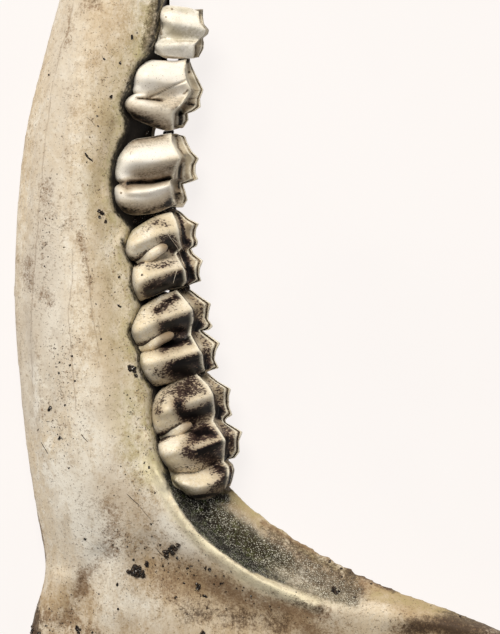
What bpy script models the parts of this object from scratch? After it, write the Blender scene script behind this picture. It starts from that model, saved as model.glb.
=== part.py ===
"""A deer's jawbone: the left half of the lower jaw, with its teeth, lying on its inner side.

+X runs from the lower edge to the teeth, +Y to the front teeth and +Z to the outer side, which
faces up. The origin is the middle of the box's bottom. Lengths are in millimetres and angles in
degrees until a mesh is made. "Plan" is the view from above, along -Z, and its own zero lies
beside the cheek teeth, so PLAN_CENTRE carries it to the origin.
"""

from collections import namedtuple
import math

import bmesh
import bpy
import numpy as np

MM = 0.001
PLAN_CENTRE = (17.81, 13.46)
GAP = 0.3
MERGE = 0.01

BONE_COLOUR = (0.72, 0.64, 0.48)
ENAMEL_COLOUR = (0.80, 0.75, 0.64)
BONE_ROUGHNESS = 0.55
ENAMEL_ROUGHNESS = 0.28

# The bone is swept from the rim of the front teeth to the tip of the coronoid process. Each
# station is a cut across it, from a plan point on its inner edge, which carries the teeth, to
# one on its outer edge. `drop` is how much lower the outer crest of the inner edge lies than the
# inner crest, and `trough` is the hollow between those two crests.
Station = namedtuple("Station", "name inner outer drop trough")
STATIONS = (
    Station("front_rim", (-1.6, 107.4), (-8.6, 109.6), 0.6, 0.0),
    Station("chin", (-4.4, 100.0), (-12.8, 103.2), 0.8, 0.0),
    Station("symphysis", (-8.2, 91.0), (-18.2, 93.4), 0.8, 0.0),
    Station("shank_front", (-11.4, 80.0), (-22.8, 81.5), 0.6, 0.0),
    Station("shank", (-13.2, 69.5), (-26.2, 70.0), 0.6, 0.0),
    Station("shank_back", (-13.4, 59.5), (-28.9, 59.5), 0.8, 0.0),
    Station("before_p2", (-12.8, 51.8), (-30.7, 51.3), 1.7, 0.0),
    Station("p2_p3", (-13.2, 41.5), (-33.3, 41.5), 3.3, 0.0),
    Station("p3_p4", (-15.2, 29.5), (-36.1, 29.8), 4.9, 0.0),
    Station("p4_m1", (-16.2, 16.8), (-37.5, 17.0), 5.3, 0.0),
    Station("m1_m2", (-15.0, 2.7), (-38.0, 2.2), 4.4, 0.0),
    Station("m2_m3", (-12.3, -11.5), (-37.0, -12.3), 4.6, 0.1),
    Station("m3_middle", (-8.6, -20.0), (-36.0, -22.0), 6.8, 0.8),
    Station("m3_end", (-4.2, -26.6), (-34.6, -31.5), 8.3, 2.0),
    Station("notch", (1.0, -31.5), (-33.3, -41.0), 9.5, 2.8),
    Station("angle_front", (6.0, -35.0), (-35.4, -49.5), 9.6, 2.8),
    Station("angle_low", (10.4, -37.6), (-37.0, -59.5), 9.4, 2.4),
    Station("angle", (14.2, -39.5), (-34.5, -70.5), 8.4, 1.8),
    Station("angle_back", (17.6, -41.3), (-26.0, -78.5), 6.6, 1.1),
    Station("back_low", (21.2, -42.9), (-13.0, -81.4), 4.6, 0.5),
    Station("back_edge", (25.5, -44.6), (1.0, -80.0), 3.2, 0.2),
    Station("back_high", (31.0, -46.5), (14.0, -79.6), 2.2, 0.0),
    Station("below_notch", (37.0, -48.8), (26.0, -78.5), 1.4, 0.0),
    Station("coronoid_base", (43.0, -51.4), (36.5, -71.5), 0.8, 0.0),
    Station("coronoid_low", (50.0, -54.8), (46.5, -69.4), 0.6, 0.0),
    Station("coronoid_middle", (58.0, -59.6), (55.8, -69.8), 0.4, 0.0),
    Station("coronoid_high", (65.4, -65.6), (63.2, -72.4), 0.3, 0.0),
    Station("coronoid_tip", (71.0, -72.4), (69.0, -76.8), 0.2, 0.0),
    Station("coronoid_end", (73.6, -77.6), (72.4, -79.4), 0.1, 0.0),
)

# Heights above the resting plane and thicknesses there: of the tooth-bearing edge (crest), of
# the middle of the plate and of its outer rim. Between these stations they change smoothly.
Girth = namedtuple("Girth", "station crest_z crest middle_z middle rim_z rim")
GIRTHS = (
    Girth("front_rim", 7.8, 14.0, 7.8, 15.6, 7.8, 13.6),
    Girth("chin", 6.6, 11.4, 6.4, 13.4, 6.2, 10.6),
    Girth("symphysis", 5.0, 7.6, 4.8, 10.4, 4.8, 8.2),
    Girth("shank_front", 5.6, 4.6, 5.4, 9.0, 5.4, 6.0),
    Girth("shank", 6.8, 3.8, 6.7, 8.4, 6.6, 5.6),
    Girth("shank_back", 8.2, 4.6, 8.0, 9.0, 7.8, 5.8),
    Girth("p2_p3", 9.4, 7.4, 9.4, 11.2, 9.0, 6.4),
    Girth("p4_m1", 9.3, 9.4, 9.3, 13.0, 8.8, 6.8),
    Girth("m2_m3", 9.2, 10.6, 9.2, 13.6, 7.8, 7.0),
    Girth("m3_end", 9.1, 10.8, 8.4, 11.4, 5.8, 6.0),
    Girth("notch", 9.3, 9.8, 7.4, 8.2, 4.2, 5.2),
    Girth("angle_low", 10.0, 8.0, 6.6, 5.0, 2.5, 5.2),
    Girth("angle_back", 10.7, 6.6, 6.8, 4.2, 2.7, 5.8),
    Girth("back_edge", 11.4, 5.4, 8.4, 4.2, 5.2, 6.6),
    Girth("below_notch", 12.4, 4.6, 10.8, 4.2, 9.6, 5.4),
    Girth("coronoid_base", 13.0, 4.2, 12.2, 3.9, 11.6, 3.2),
    Girth("coronoid_middle", 14.8, 3.4, 14.6, 3.4, 14.4, 2.6),
    Girth("coronoid_tip", 16.8, 2.4, 16.8, 2.4, 16.8, 1.8),
    Girth("coronoid_end", 17.4, 1.3, 17.4, 1.4, 17.4, 1.2),
)
CUTS_PER_STATION = 2
RING_POINTS = 26

# The condyle is a roll across the top of its neck, which rises out of the ramus.
Neck = namedtuple("Neck", "centre z width thickness")
NECK = (
    Neck((15.0, -69.6), 8.9, 20.0, 2.6),
    Neck((22.0, -72.6), 9.6, 19.0, 4.2),
    Neck((29.5, -76.4), 10.2, 15.0, 5.6),
    Neck((36.5, -80.2), 10.5, 11.6, 7.4),
    Neck((42.0, -83.2), 10.5, 9.8, 10.4),
    Neck((45.0, -84.8), 10.5, 8.4, 13.4),
)
NECK_SIDES = 16
CONDYLE_CENTRE = (45.8, -85.4, 10.4)
CONDYLE_RADII = (4.2, 5.4, 10.7)
CONDYLE_LEAN = -28.0
CONDYLE_SIDES = (24, 14)

# Foramina, as shallow ellipsoid hollows: plan point, height, radii, and turn in plan.
Foramen = namedtuple("Foramen", "name centre z radii turn")
FORAMINA = (
    Foramen("mental", (-18.6, 66.0), 11.6, (1.5, 3.2, 2.4), -12.0),
    Foramen("mental_front", (-14.0, 84.0), 10.4, (0.8, 1.5, 1.4), -18.0),
    Foramen("mandibular", (4.0, -60.5), 4.0, (3.2, 2.0, 2.0), 30.0),
)

# A cheek tooth's plan is a quad on its outer face: its neck and its biting edge, each from the
# front end to the back end. Up the crown, 0 is the neck and 1 the outer biting edge. `lobes` are
# shares of its length, `half` is half its width at the neck, belly and edge, and `pillar` is the
# plan run of the small column between two lobes. The edges give the heights of the outer and
# inner cusps by share of the tooth's length, or of each lobe's length where the lobes are alike.
Tooth = namedtuple("Tooth", "name neck crest lobes half z pillar outer_edge inner_edge")
MOLAR_OUTER = ((0.0, 0.92), (0.3, 1.02), (0.6, 1.06), (1.0, 1.03))
MOLAR_INNER = ((0.0, 1.15), (0.13, 1.19), (0.36, 1.30), (0.62, 1.48), (0.78, 1.37), (1.0, 1.30))
P2_OUTER = ((0.0, 0.95), (0.3, 1.02), (0.53, 1.22), (0.68, 1.02), (1.0, 0.88))
P2_INNER = ((0.0, 1.04), (0.2, 1.12), (0.42, 1.18), (0.53, 1.33), (0.64, 1.16), (0.85, 1.14),
            (1.0, 0.95))
P3_OUTER = ((0.0, 0.98), (0.25, 1.0), (0.4, 1.18), (0.55, 1.1), (0.72, 0.95), (1.0, 0.93))
P3_INNER = ((0.0, 1.10), (0.15, 1.22), (0.45, 1.50), (0.64, 1.45), (0.74, 1.22), (1.0, 1.12))
P4_OUTER = ((0.0, 0.95), (0.32, 1.12), (0.55, 1.03), (0.61, 0.97), (0.85, 1.04), (1.0, 0.95))
P4_INNER = ((0.0, 1.10), (0.08, 1.25), (0.22, 1.36), (0.3, 1.50), (0.52, 1.45), (0.62, 1.18),
            (0.85, 1.28), (1.0, 1.15))
M3_OUTER = ((0.0, 1.0), (0.19, 1.19), (0.25, 1.2), (0.4, 1.08), (0.6, 1.22), (0.71, 1.12),
            (0.78, 1.04), (0.9, 1.08), (1.0, 1.0))
M3_INNER = ((0.0, 1.15), (0.21, 1.6), (0.3, 1.48), (0.38, 1.47), (0.43, 1.34), (0.56, 1.6),
            (0.7, 1.45), (0.77, 1.19), (0.88, 1.24), (1.0, 1.05))
CHEEK_TEETH = (
    Tooth("tooth_p2", ((-15.4, 49.4), (-16.0, 42.7)), ((-8.6, 49.6), (-8.8, 41.7)),
          ((0.0, 0.70), (0.70, 1.0)), (2.2, 2.7, 1.3), 9.3, None, P2_OUTER, P2_INNER),
    Tooth("tooth_p3", ((-19.3, 40.5), (-21.3, 32.2)), ((-10.6, 41.1), (-12.0, 30.0)),
          ((0.0, 0.58), (0.58, 1.0)), (2.8, 3.5, 1.8), 9.2, None, P3_OUTER, P3_INNER),
    Tooth("tooth_p4", ((-21.9, 26.8), (-22.0, 17.3)), ((-12.6, 29.4), (-12.3, 17.5)),
          ((0.0, 0.62), (0.62, 1.0)), (3.4, 4.3, 2.4), 9.1, None, P4_OUTER, P4_INNER),
    Tooth("tooth_m1", ((-20.7, 12.8), (-19.1, 3.0)), ((-12.6, 17.0), (-10.6, 5.4)),
          ((0.0, 0.50), (0.50, 1.0)), (3.9, 4.8, 2.8), 9.0,
          ((-18.2, 9.9), (-13.0, 11.5)), MOLAR_OUTER, MOLAR_INNER),
    Tooth("tooth_m2", ((-19.8, -0.4), (-17.8, -10.0)), ((-11.6, 4.3), (-8.0, -8.6)),
          ((0.0, 0.50), (0.50, 1.0)), (4.1, 5.1, 3.0), 9.0,
          ((-17.6, -4.3), (-12.4, -2.5)), MOLAR_OUTER, MOLAR_INNER),
    Tooth("tooth_m3", ((-16.4, -13.4), (-11.5, -28.0)), ((-8.6, -9.6), (-3.9, -27.2)),
          ((0.0, 0.40), (0.40, 0.76), (0.76, 1.0)), (4.1, 5.1, 3.0), 9.0,
          ((-14.4, -18.8), (-9.2, -16.9)), M3_OUTER, M3_INNER),
)
CUTS_PER_LOBE = 8
ROOT_DEPTH = 0.72
ROOT_TAPER = 0.62
INNER_NECK = 0.42
CROWN_LEAN = -1.0
END_WIDTH = 0.55
END_ROUNDING = 3.2
VALLEY_AT_NECK = 0.80
VALLEY_AT_EDGE = 0.30
FOSSA_DEPTH = 0.34
EDGE_BAND = 0.30
INNER_OFFSET = 0.5
PILLAR_RADIUS = 0.75
PILLAR_SIDES = 8

# A front tooth: plan point, height and fan angle at the rim, crown width and length.
Incisor = namedtuple("Incisor", "name base z fan width length")
INCISORS = (
    Incisor("tooth_i1", (-4.3, 108.0), 4.2, 0.0, 7.4, 15.5),
    Incisor("tooth_i2", (-4.4, 107.6), 8.2, 15.0, 5.6, 14.5),
    Incisor("tooth_i3", (-4.7, 106.6), 11.6, 27.0, 4.6, 13.2),
    Incisor("tooth_canine", (-5.2, 104.8), 14.1, 42.0, 3.9, 11.6),
)
INCISOR_RAKE = 40.0
INCISOR_ROOT = 6.0
# Along an incisor: share of its length, width as a share of the crown's, thickness.
INCISOR_SHAPE = (
    (-0.42, 0.30, 1.6),
    (-0.10, 0.42, 2.7),
    (0.12, 0.44, 2.9),
    (0.34, 0.56, 3.1),
    (0.62, 0.86, 2.6),
    (0.86, 1.00, 1.7),
    (1.00, 0.94, 0.8),
)
INCISOR_SIDES = 12
INCISOR_CURL = 14.0


def clear_scene():
    """Removes every object that the scene starts with."""
    for obj in list(bpy.data.objects):
        bpy.data.objects.remove(obj)


def new_collection(name, shown=True):
    """A collection of that name in the scene."""
    collection = bpy.data.collections.new(name)
    collection.hide_render = not shown
    bpy.context.scene.collection.children.link(collection)
    return collection


def new_material(name, colour, roughness):
    """A plain material of that colour and roughness."""
    material = bpy.data.materials.new(name)
    material.use_nodes = True
    shader = material.node_tree.nodes["Principled BSDF"]
    shader.inputs["Base Color"].default_value = (*colour, 1.0)
    shader.inputs["Roughness"].default_value = roughness
    shader.inputs["Metallic"].default_value = 0.0
    return material


def smooth(knots, values, at):
    """The values along a smooth curve through (knots, values), read at each place of `at`."""
    knots = np.asarray(knots, float)
    values = np.asarray(values, float)
    at = np.asarray(at, float)
    steps = np.diff(knots)
    shape = (len(steps),) + (1,) * (values.ndim - 1)
    slopes = np.diff(values, axis=0) / steps.reshape(shape)
    inner = (slopes[:-1] + slopes[1:]) / 2
    tangents = np.concatenate([slopes[:1], inner, slopes[-1:]])
    index = np.clip(np.searchsorted(knots, at, side="right") - 1, 0, len(steps) - 1)
    share = ((at - knots[index]) / steps[index]).reshape((-1,) + (1,) * (values.ndim - 1))
    step = steps[index].reshape(share.shape)
    return (
        (2 * share**3 - 3 * share**2 + 1) * values[index]
        + (share**3 - 2 * share**2 + share) * step * tangents[index]
        + (3 * share**2 - 2 * share**3) * values[index + 1]
        + (share**3 - share**2) * step * tangents[index + 1]
    )


def to_row(points):
    """Plan points with their heights, in millimetres, as points of the part in metres."""
    shift = np.array([*PLAN_CENTRE, 0.0])
    return (np.asarray(points, float) - shift) * MM


def loft(name, rings, material, collection):
    """A closed mesh through rings of as many points each, with a fan of faces over each end."""
    rings = np.asarray(rings, float)
    count, sides = rings.shape[:2]
    points = np.concatenate([rings.reshape(-1, 3), rings[:1].mean(1), rings[-1:].mean(1)])
    first_end, last_end = count * sides, count * sides + 1
    faces = []
    for k in range(count - 1):
        for i in range(sides):
            j = (i + 1) % sides
            faces.append((k * sides + i, k * sides + j, (k + 1) * sides + j, (k + 1) * sides + i))
    last = (count - 1) * sides
    for i in range(sides):
        j = (i + 1) % sides
        faces.append((first_end, j, i))
        faces.append((last_end, last + i, last + j))
    mesh = bpy.data.meshes.new(name)
    mesh.from_pydata(to_row(points).tolist(), [], faces)
    tidy(mesh)
    mesh.materials.append(material)
    obj = bpy.data.objects.new(name, mesh)
    collection.objects.link(obj)
    return obj


def tidy(mesh):
    """Merges points that coincide, turns the faces outwards and shades them smooth."""
    work = bmesh.new()
    work.from_mesh(mesh)
    bmesh.ops.remove_doubles(work, verts=work.verts, dist=MERGE * MM)
    bmesh.ops.recalc_face_normals(work, faces=work.faces)
    work.to_mesh(mesh)
    work.free()
    mesh.shade_smooth()


def ellipsoid(name, centre, radii, turn, sides, collection, material=None):
    """A sphere primitive stretched to its radii, turned in plan and kept above the floor."""
    mesh = bpy.data.meshes.new(name)
    work = bmesh.new()
    bmesh.ops.create_uvsphere(work, u_segments=sides[0], v_segments=sides[1], radius=1.0)
    work.to_mesh(mesh)
    work.free()
    points = np.array([v.co for v in mesh.vertices]) * np.asarray(radii)
    angle = math.radians(turn)
    turned = points.copy()
    turned[:, 0] = points[:, 0] * math.cos(angle) - points[:, 1] * math.sin(angle)
    turned[:, 1] = points[:, 0] * math.sin(angle) + points[:, 1] * math.cos(angle)
    turned += np.asarray(centre)
    mesh.vertices.foreach_set("co", to_row(turned).astype(np.float32).ravel())
    if material:
        mesh.materials.append(material)
    obj = bpy.data.objects.new(name, mesh)
    collection.objects.link(obj)
    return obj


def station_values():
    """The plan points, crest drop, trough and girths of every cut of the bone."""
    index = {station.name: i for i, station in enumerate(STATIONS)}
    places = np.arange(len(STATIONS))
    at = np.linspace(0, len(STATIONS) - 1, CUTS_PER_STATION * (len(STATIONS) - 1) + 1)
    lines = np.array([[*s.inner, *s.outer, s.drop, s.trough] for s in STATIONS])
    girths = np.array([girth[1:] for girth in GIRTHS])
    girth_places = [index[girth.station] for girth in GIRTHS]
    return np.hstack([smooth(places, lines, at), smooth(girth_places, girths, at)])


def bone_ring(cut):
    """One cut's ring of points, from its named sizes, smooth all the way round."""
    inner, outer = cut[0:2], cut[2:4]
    drop, trough, crest_z, crest, middle_z, middle, rim_z, rim = cut[4:]
    depth = np.linalg.norm(outer - inner)
    along = (outer - inner) / depth
    upper, lower = 0.22, 0.78
    edge = min(rim * 0.30, depth * 0.2)
    shelf = 0.13 * max(0.0, 1.0 - trough)
    body = depth - drop
    corners = np.array([
        (0.0, crest_z - crest * 0.40),
        (drop * 0.5 + trough, crest_z + crest * (0.05 + shelf)),
        (drop, crest_z + crest * 0.44),
        (drop + min(1.6, body * 0.1), crest_z + crest * 0.5),
        (drop + body * upper, 0.4 * crest_z + 0.6 * middle_z + 0.2 * crest + 0.3 * middle),
        (drop + body * 0.5, middle_z + middle * 0.5),
        (drop + body * lower, 0.5 * (middle_z + rim_z) + 0.24 * (middle + rim)),
        (depth - edge, rim_z + rim * 0.44),
        (depth, rim_z),
        (depth - edge, rim_z - rim * 0.44),
        (depth * lower, 0.5 * (middle_z + rim_z) - 0.24 * (middle + rim)),
        (depth * 0.5, middle_z - middle * 0.5),
        (depth * upper, 0.4 * crest_z + 0.6 * middle_z - 0.2 * crest - 0.3 * middle),
        (min(1.4, depth * 0.1), crest_z - crest * 0.5),
    ])
    around = np.vstack([corners[-2:], corners, corners[:3]])
    knots = np.arange(-2, len(corners) + 3)
    flat = smooth(knots, around, np.linspace(0, len(corners), RING_POINTS, endpoint=False))
    plan = inner + np.outer(flat[:, 0], along)
    return np.column_stack([plan, np.maximum(flat[:, 1], 0.0)])


def neck_ring(part):
    """An oval across the condyle's neck."""
    start, end = np.array(NECK[0].centre), np.array(NECK[-1].centre)
    along = (end - start) / np.linalg.norm(end - start)
    across = np.array([-along[1], along[0]])
    turns = np.linspace(0, 2 * math.pi, NECK_SIDES, endpoint=False)
    plan = part.centre + np.outer(np.cos(turns) * part.width / 2, across)
    return np.column_stack([plan, part.z + np.sin(turns) * part.thickness / 2])


def lobe_shape(tooth, share, height):
    """How full a cheek tooth is at that share of its length, from its valleys (low) to 1."""
    start, end = next(lobe for lobe in tooth.lobes if share <= lobe[1] + 1e-9)
    place = abs(2 * (share - start) / (end - start) - 1)
    power = 2.4 - 1.0 * min(max(height, 0.0), 1.0)
    valley = VALLEY_AT_NECK + (VALLEY_AT_EDGE - VALLEY_AT_NECK) * min(max(height, 0.0), 1.0)
    return valley + (1 - valley) * (1 - min(place, 1.0) ** power) ** (1 / power)


def edge_height(tooth, share, edge):
    """The height of a biting edge at that share of the tooth, or of the lobe if all repeat it."""
    start, end = 0.0, 1.0
    if edge in (MOLAR_OUTER, MOLAR_INNER):
        start, end = next(lobe for lobe in tooth.lobes if share <= lobe[1] + 1e-9)
    knots, heights = zip(*edge)
    return float(np.interp((share - start) / (end - start), knots, heights))


def tooth_ring(tooth, share, grow):
    """One cut across a cheek tooth: root, outer wall, outer edge, fossa, inner edge, inner wall."""
    neck = np.array(tooth.neck[0]) * (1 - share) + np.array(tooth.neck[1]) * share
    crest = np.array(tooth.crest[0]) * (1 - share) + np.array(tooth.crest[1]) * share
    at_neck, belly, at_edge = tooth.half
    rounding = END_WIDTH + (1 - END_WIDTH) * (1 - abs(2 * share - 1) ** END_ROUNDING) ** 0.5
    outer_top = edge_height(tooth, share, tooth.outer_edge)
    inner_top = edge_height(tooth, share, tooth.inner_edge)
    start, end = next(lobe for lobe in tooth.lobes if share <= lobe[1] + 1e-9)
    middle = 1 - abs(2 * (share - start) / (end - start) - 1) ** 2
    fossa = min(outer_top, inner_top) - 0.06 - FOSSA_DEPTH * middle

    def full(height, flat=0.0):
        return rounding * (flat + (1 - flat) * lobe_shape(tooth, share, height))

    outer = (
        (-ROOT_DEPTH, at_neck * ROOT_TAPER * rounding),
        (-0.25, at_neck * 0.94 * full(0)),
        (0.0, at_neck * full(0)),
        (0.18, belly * full(0.1)),
        (0.50, (0.65 * belly + 0.35 * at_edge) * full(0.5)),
        (0.78, (0.25 * belly + 0.75 * at_edge) * full(0.85)),
        (outer_top, at_edge * full(1)),
        (outer_top - 0.02, at_edge * (1 - EDGE_BAND) * full(1)),
    )
    inner = (
        (inner_top - 0.02, -(at_edge * (1 - EDGE_BAND) + INNER_OFFSET) * full(1, 0.7)),
        (inner_top, -(at_edge + INNER_OFFSET) * full(1, 0.7)),
        (0.95 * min(inner_top, 1.0), -(0.35 * belly + 0.65 * at_edge + 0.4) * full(0.8, 0.7)),
        (0.65, -(0.85 * belly + 0.15 * at_edge) * full(0.5, 0.7)),
        (INNER_NECK, -at_neck * full(0, 0.5)),
        (0.0, -at_neck * 0.96 * full(0, 0.5)),
        (-ROOT_DEPTH, -at_neck * ROOT_TAPER * rounding),
    )
    profile = outer + ((fossa, 0.0),) + inner
    direction = crest - neck
    per_unit = np.linalg.norm(direction)
    ring = []
    for height, width in profile:
        height += math.copysign(grow / per_unit, height + ROOT_DEPTH / 2)
        lean = CROWN_LEAN * max(height, 0.0)
        z = tooth.z + lean + width + math.copysign(grow, width)
        ring.append((*(neck + direction * height), z))
    return np.array(ring)


def cheek_tooth(tooth, material, collection, grow=0.0):
    """A cheek tooth as a loft along the tooth row; grow makes the cutter of its socket."""
    shares = {0.0, 0.04, 0.96, 1.0}
    for start, end in tooth.lobes:
        shares |= {float(s) for s in np.linspace(start, end, CUTS_PER_LOBE)}
    shares = sorted(s for s in shares if all(abs(s - t) > 0.015 or s == t for t in (0.04, 0.96)))
    rings = np.array([tooth_ring(tooth, share, grow) for share in shares])
    if grow:
        neck = np.array(tooth.neck)
        along = (neck[1] - neck[0]) / np.linalg.norm(neck[1] - neck[0])
        rings[0, :, :2] -= along * grow
        rings[-1, :, :2] += along * grow
    return loft(tooth.name, rings, material, collection)


def pillar(tooth, material, collection, grow=0.0):
    """The small tapered column that stands between a molar's first two lobes."""
    low, high = (np.array(p) for p in tooth.pillar)
    along = (high - low) / np.linalg.norm(high - low)
    across = np.array([-along[1], along[0]])
    turns = np.linspace(0, 2 * math.pi, PILLAR_SIDES, endpoint=False)
    belly = tooth.z + tooth.half[1]
    rings = []
    for share, size, z in ((0.0, 0.7, belly - 2.0), (0.35, 1.0, belly - 1.3),
                           (0.75, 0.8, belly - 1.5), (1.0, 0.3, belly - 1.9)):
        radius = PILLAR_RADIUS * size + grow
        plan = low + (high - low) * share + np.outer(np.cos(turns) * radius, across)
        rings.append(np.column_stack([plan, z + np.sin(turns) * radius * 1.6]))
    return loft(tooth.name + "_pillar", rings, material, collection)


def incisor(tooth, material, collection, grow=0.0):
    """A front tooth: a round root and neck that widen to a thin, curved blade."""
    fan, rake = math.radians(tooth.fan), math.radians(INCISOR_RAKE)
    base = np.array([*tooth.base, tooth.z])
    turns = np.linspace(0, 2 * math.pi, INCISOR_SIDES, endpoint=False)
    rings = []
    for share, width, thickness in INCISOR_SHAPE:
        bend = rake + math.radians(INCISOR_CURL) * share
        forward = np.array([math.sin(bend), math.cos(bend) * math.cos(fan), math.sin(fan)])
        forward /= np.linalg.norm(forward)
        side = np.array([0.0, -math.sin(fan), math.cos(fan)])
        side -= forward * forward.dot(side)
        side /= np.linalg.norm(side)
        face = np.cross(forward, side)
        centre = base + forward * tooth.length * share
        half_width = tooth.width * width / 2 + grow
        half_thickness = thickness / 2 + grow
        ring = (centre + np.outer(np.cos(turns) * half_width, side)
                + np.outer(np.sin(turns) * half_thickness, face))
        rings.append(ring)
    rings = np.array(rings)
    rings[:, :, 2] = np.maximum(rings[:, :, 2], 0.0 if grow else 0.15)
    return loft(tooth.name, rings, material, collection)


def combine(obj, helpers, operation):
    """Joins or cuts obj with every mesh of a collection, applies that and removes them."""
    modifier = obj.modifiers.new(operation.title(), "BOOLEAN")
    modifier.operand_type = "COLLECTION"
    modifier.collection = helpers
    modifier.operation = operation
    modifier.solver = "EXACT"
    graph = bpy.context.evaluated_depsgraph_get()
    made = bpy.data.meshes.new_from_object(obj.evaluated_get(graph))
    obj.modifiers.clear()
    obj.data = made
    for helper in list(helpers.objects):
        bpy.data.objects.remove(helper)
    bpy.data.collections.remove(helpers)
    keep_largest(obj)


def keep_largest(obj):
    """Keeps the largest closed surface of a mesh and drops every loose scrap."""
    work = bmesh.new()
    work.from_mesh(obj.data)
    bmesh.ops.remove_doubles(work, verts=work.verts, dist=MERGE * MM)
    bmesh.ops.dissolve_degenerate(work, edges=work.edges, dist=MERGE * MM)
    unseen = set(work.faces)
    islands = []
    while unseen:
        edge_of_search = [unseen.pop()]
        island = list(edge_of_search)
        while edge_of_search:
            face = edge_of_search.pop()
            for edge in face.edges:
                for other in edge.link_faces:
                    if other in unseen:
                        unseen.remove(other)
                        edge_of_search.append(other)
                        island.append(other)
        islands.append(island)
    largest = max(islands, key=lambda island: sum(face.calc_area() for face in island))
    loose = [face for island in islands if island is not largest for face in island]
    if loose:
        bmesh.ops.delete(work, geom=loose, context="FACES")
    bmesh.ops.triangulate(work, faces=work.faces)
    work.to_mesh(obj.data)
    work.free()
    obj.data.shade_smooth()


def make_bone(material, collection):
    """The bone: swept body and ramus, joined by the condyle, cut by sockets and foramina."""
    bone = loft("jawbone", [bone_ring(cut) for cut in station_values()], material, collection)
    pieces = new_collection("bone_pieces")
    loft("neck", [neck_ring(part) for part in NECK], material, pieces)
    condyle = ellipsoid("condyle", CONDYLE_CENTRE, CONDYLE_RADII, CONDYLE_LEAN,
                        CONDYLE_SIDES, pieces, material)
    for vertex in condyle.data.vertices:
        vertex.co.z = max(vertex.co.z, 0.0)
    combine(bone, pieces, "UNION")
    for tooth in CHEEK_TEETH:
        socket = new_collection("socket")
        cheek_tooth(tooth, material, socket, grow=GAP)
        combine(bone, socket, "DIFFERENCE")
        if tooth.pillar:
            socket = new_collection("socket")
            pillar(tooth, material, socket, grow=GAP)
            combine(bone, socket, "DIFFERENCE")
    for tooth in INCISORS:
        socket = new_collection("socket")
        incisor(tooth, material, socket, grow=GAP)
        combine(bone, socket, "DIFFERENCE")
    for hole in FORAMINA:
        cutter = new_collection("foramen")
        ellipsoid(hole.name, (*hole.centre, hole.z), hole.radii, hole.turn, (12, 8), cutter)
        combine(bone, cutter, "DIFFERENCE")
    return bone


def make_teeth(material, collection):
    """Every tooth as its own object, each molar with its pillar."""
    for tooth in CHEEK_TEETH:
        crown = cheek_tooth(tooth, material, collection)
        if tooth.pillar:
            column = new_collection("column")
            pillar(tooth, material, column)
            combine(crown, column, "UNION")
    for tooth in INCISORS:
        incisor(tooth, material, collection)


def main():
    """Clears the scene and models the jawbone."""
    clear_scene()
    collection = new_collection("deer_jawbone")
    bone = new_material("bone", BONE_COLOUR, BONE_ROUGHNESS)
    enamel = new_material("enamel", ENAMEL_COLOUR, ENAMEL_ROUGHNESS)
    make_bone(bone, collection)
    make_teeth(enamel, collection)


main()
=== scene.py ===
"""A deer's jawbone, finished: the left half of the lower jaw, lying on its inner side.

Sizes are in millimetres until a mesh is made. Places on the side that faces up are given in
marks, 6.24 to a millimetre, as they are seen from straight above: across from the left and down
from the top of a view of 500 by 634 marks.
"""

import logging
import math
from dataclasses import dataclass, replace
from enum import Enum
from typing import Any, Iterable, Sequence, Union

import bpy
import numpy as np
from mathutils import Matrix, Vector
from mathutils.bvhtree import BVHTree

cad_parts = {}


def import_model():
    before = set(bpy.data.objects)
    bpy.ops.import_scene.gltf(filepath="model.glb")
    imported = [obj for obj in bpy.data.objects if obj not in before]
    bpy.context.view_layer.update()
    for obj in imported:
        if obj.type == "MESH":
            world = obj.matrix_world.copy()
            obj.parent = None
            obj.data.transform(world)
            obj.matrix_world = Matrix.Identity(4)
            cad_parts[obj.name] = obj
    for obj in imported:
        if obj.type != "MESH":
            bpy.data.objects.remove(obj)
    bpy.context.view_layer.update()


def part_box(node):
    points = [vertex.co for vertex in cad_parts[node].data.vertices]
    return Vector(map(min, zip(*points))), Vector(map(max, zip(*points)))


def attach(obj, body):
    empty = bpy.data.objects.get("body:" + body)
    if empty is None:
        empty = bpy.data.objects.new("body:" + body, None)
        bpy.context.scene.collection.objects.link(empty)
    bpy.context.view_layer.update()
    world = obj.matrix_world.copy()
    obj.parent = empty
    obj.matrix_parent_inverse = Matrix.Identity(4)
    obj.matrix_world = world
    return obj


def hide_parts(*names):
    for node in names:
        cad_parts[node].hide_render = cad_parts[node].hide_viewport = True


LOG = logging.getLogger("jawbone")

MM = 0.001
PLAN_CENTRE = np.array((17.81, 13.46))
MARKS_PER_MM = 6.24
VIEW_MARKS = (500.0, 634.0)
EYE_DISTANCE = 450.0
FOCUS_HEIGHT = 10.5
SENSOR = 36.0

Array = np.ndarray
Piece = bpy.types.Object
Material = bpy.types.Material
Pair = tuple[float, float]
Triple = tuple[float, float, float]
Marks = Sequence[Pair]
Values = Union[float, Array]


def seen_from_above(points: Array) -> Array:
    """Where points of the part are seen from straight above.

    Args:
        points: places in millimetres, one a row.

    Returns:
        Their marks, across and down.
    """
    nearness = EYE_DISTANCE / (EYE_DISTANCE - (points[..., 2] - FOCUS_HEIGHT))
    plan = (points[..., :2] + PLAN_CENTRE) * nearness[..., None] * MARKS_PER_MM
    return np.stack([VIEW_MARKS[0] / 2 + plan[..., 0], VIEW_MARKS[1] / 2 - plan[..., 1]], -1)


def under_marks(marks: Array, heights: Array) -> Array:
    """The points of the part that are seen at those marks.

    Args:
        marks: across and down, on the last axis.
        heights: how high each point lies, in millimetres.

    Returns:
        The points in millimetres.
    """
    nearness = EYE_DISTANCE / (EYE_DISTANCE - (heights - FOCUS_HEIGHT))
    scale = nearness * MARKS_PER_MM
    across = (marks[..., 0] - VIEW_MARKS[0] / 2) / scale - PLAN_CENTRE[0]
    up = (VIEW_MARKS[1] / 2 - marks[..., 1]) / scale - PLAN_CENTRE[1]
    return np.stack([across, up, heights], -1)


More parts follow.
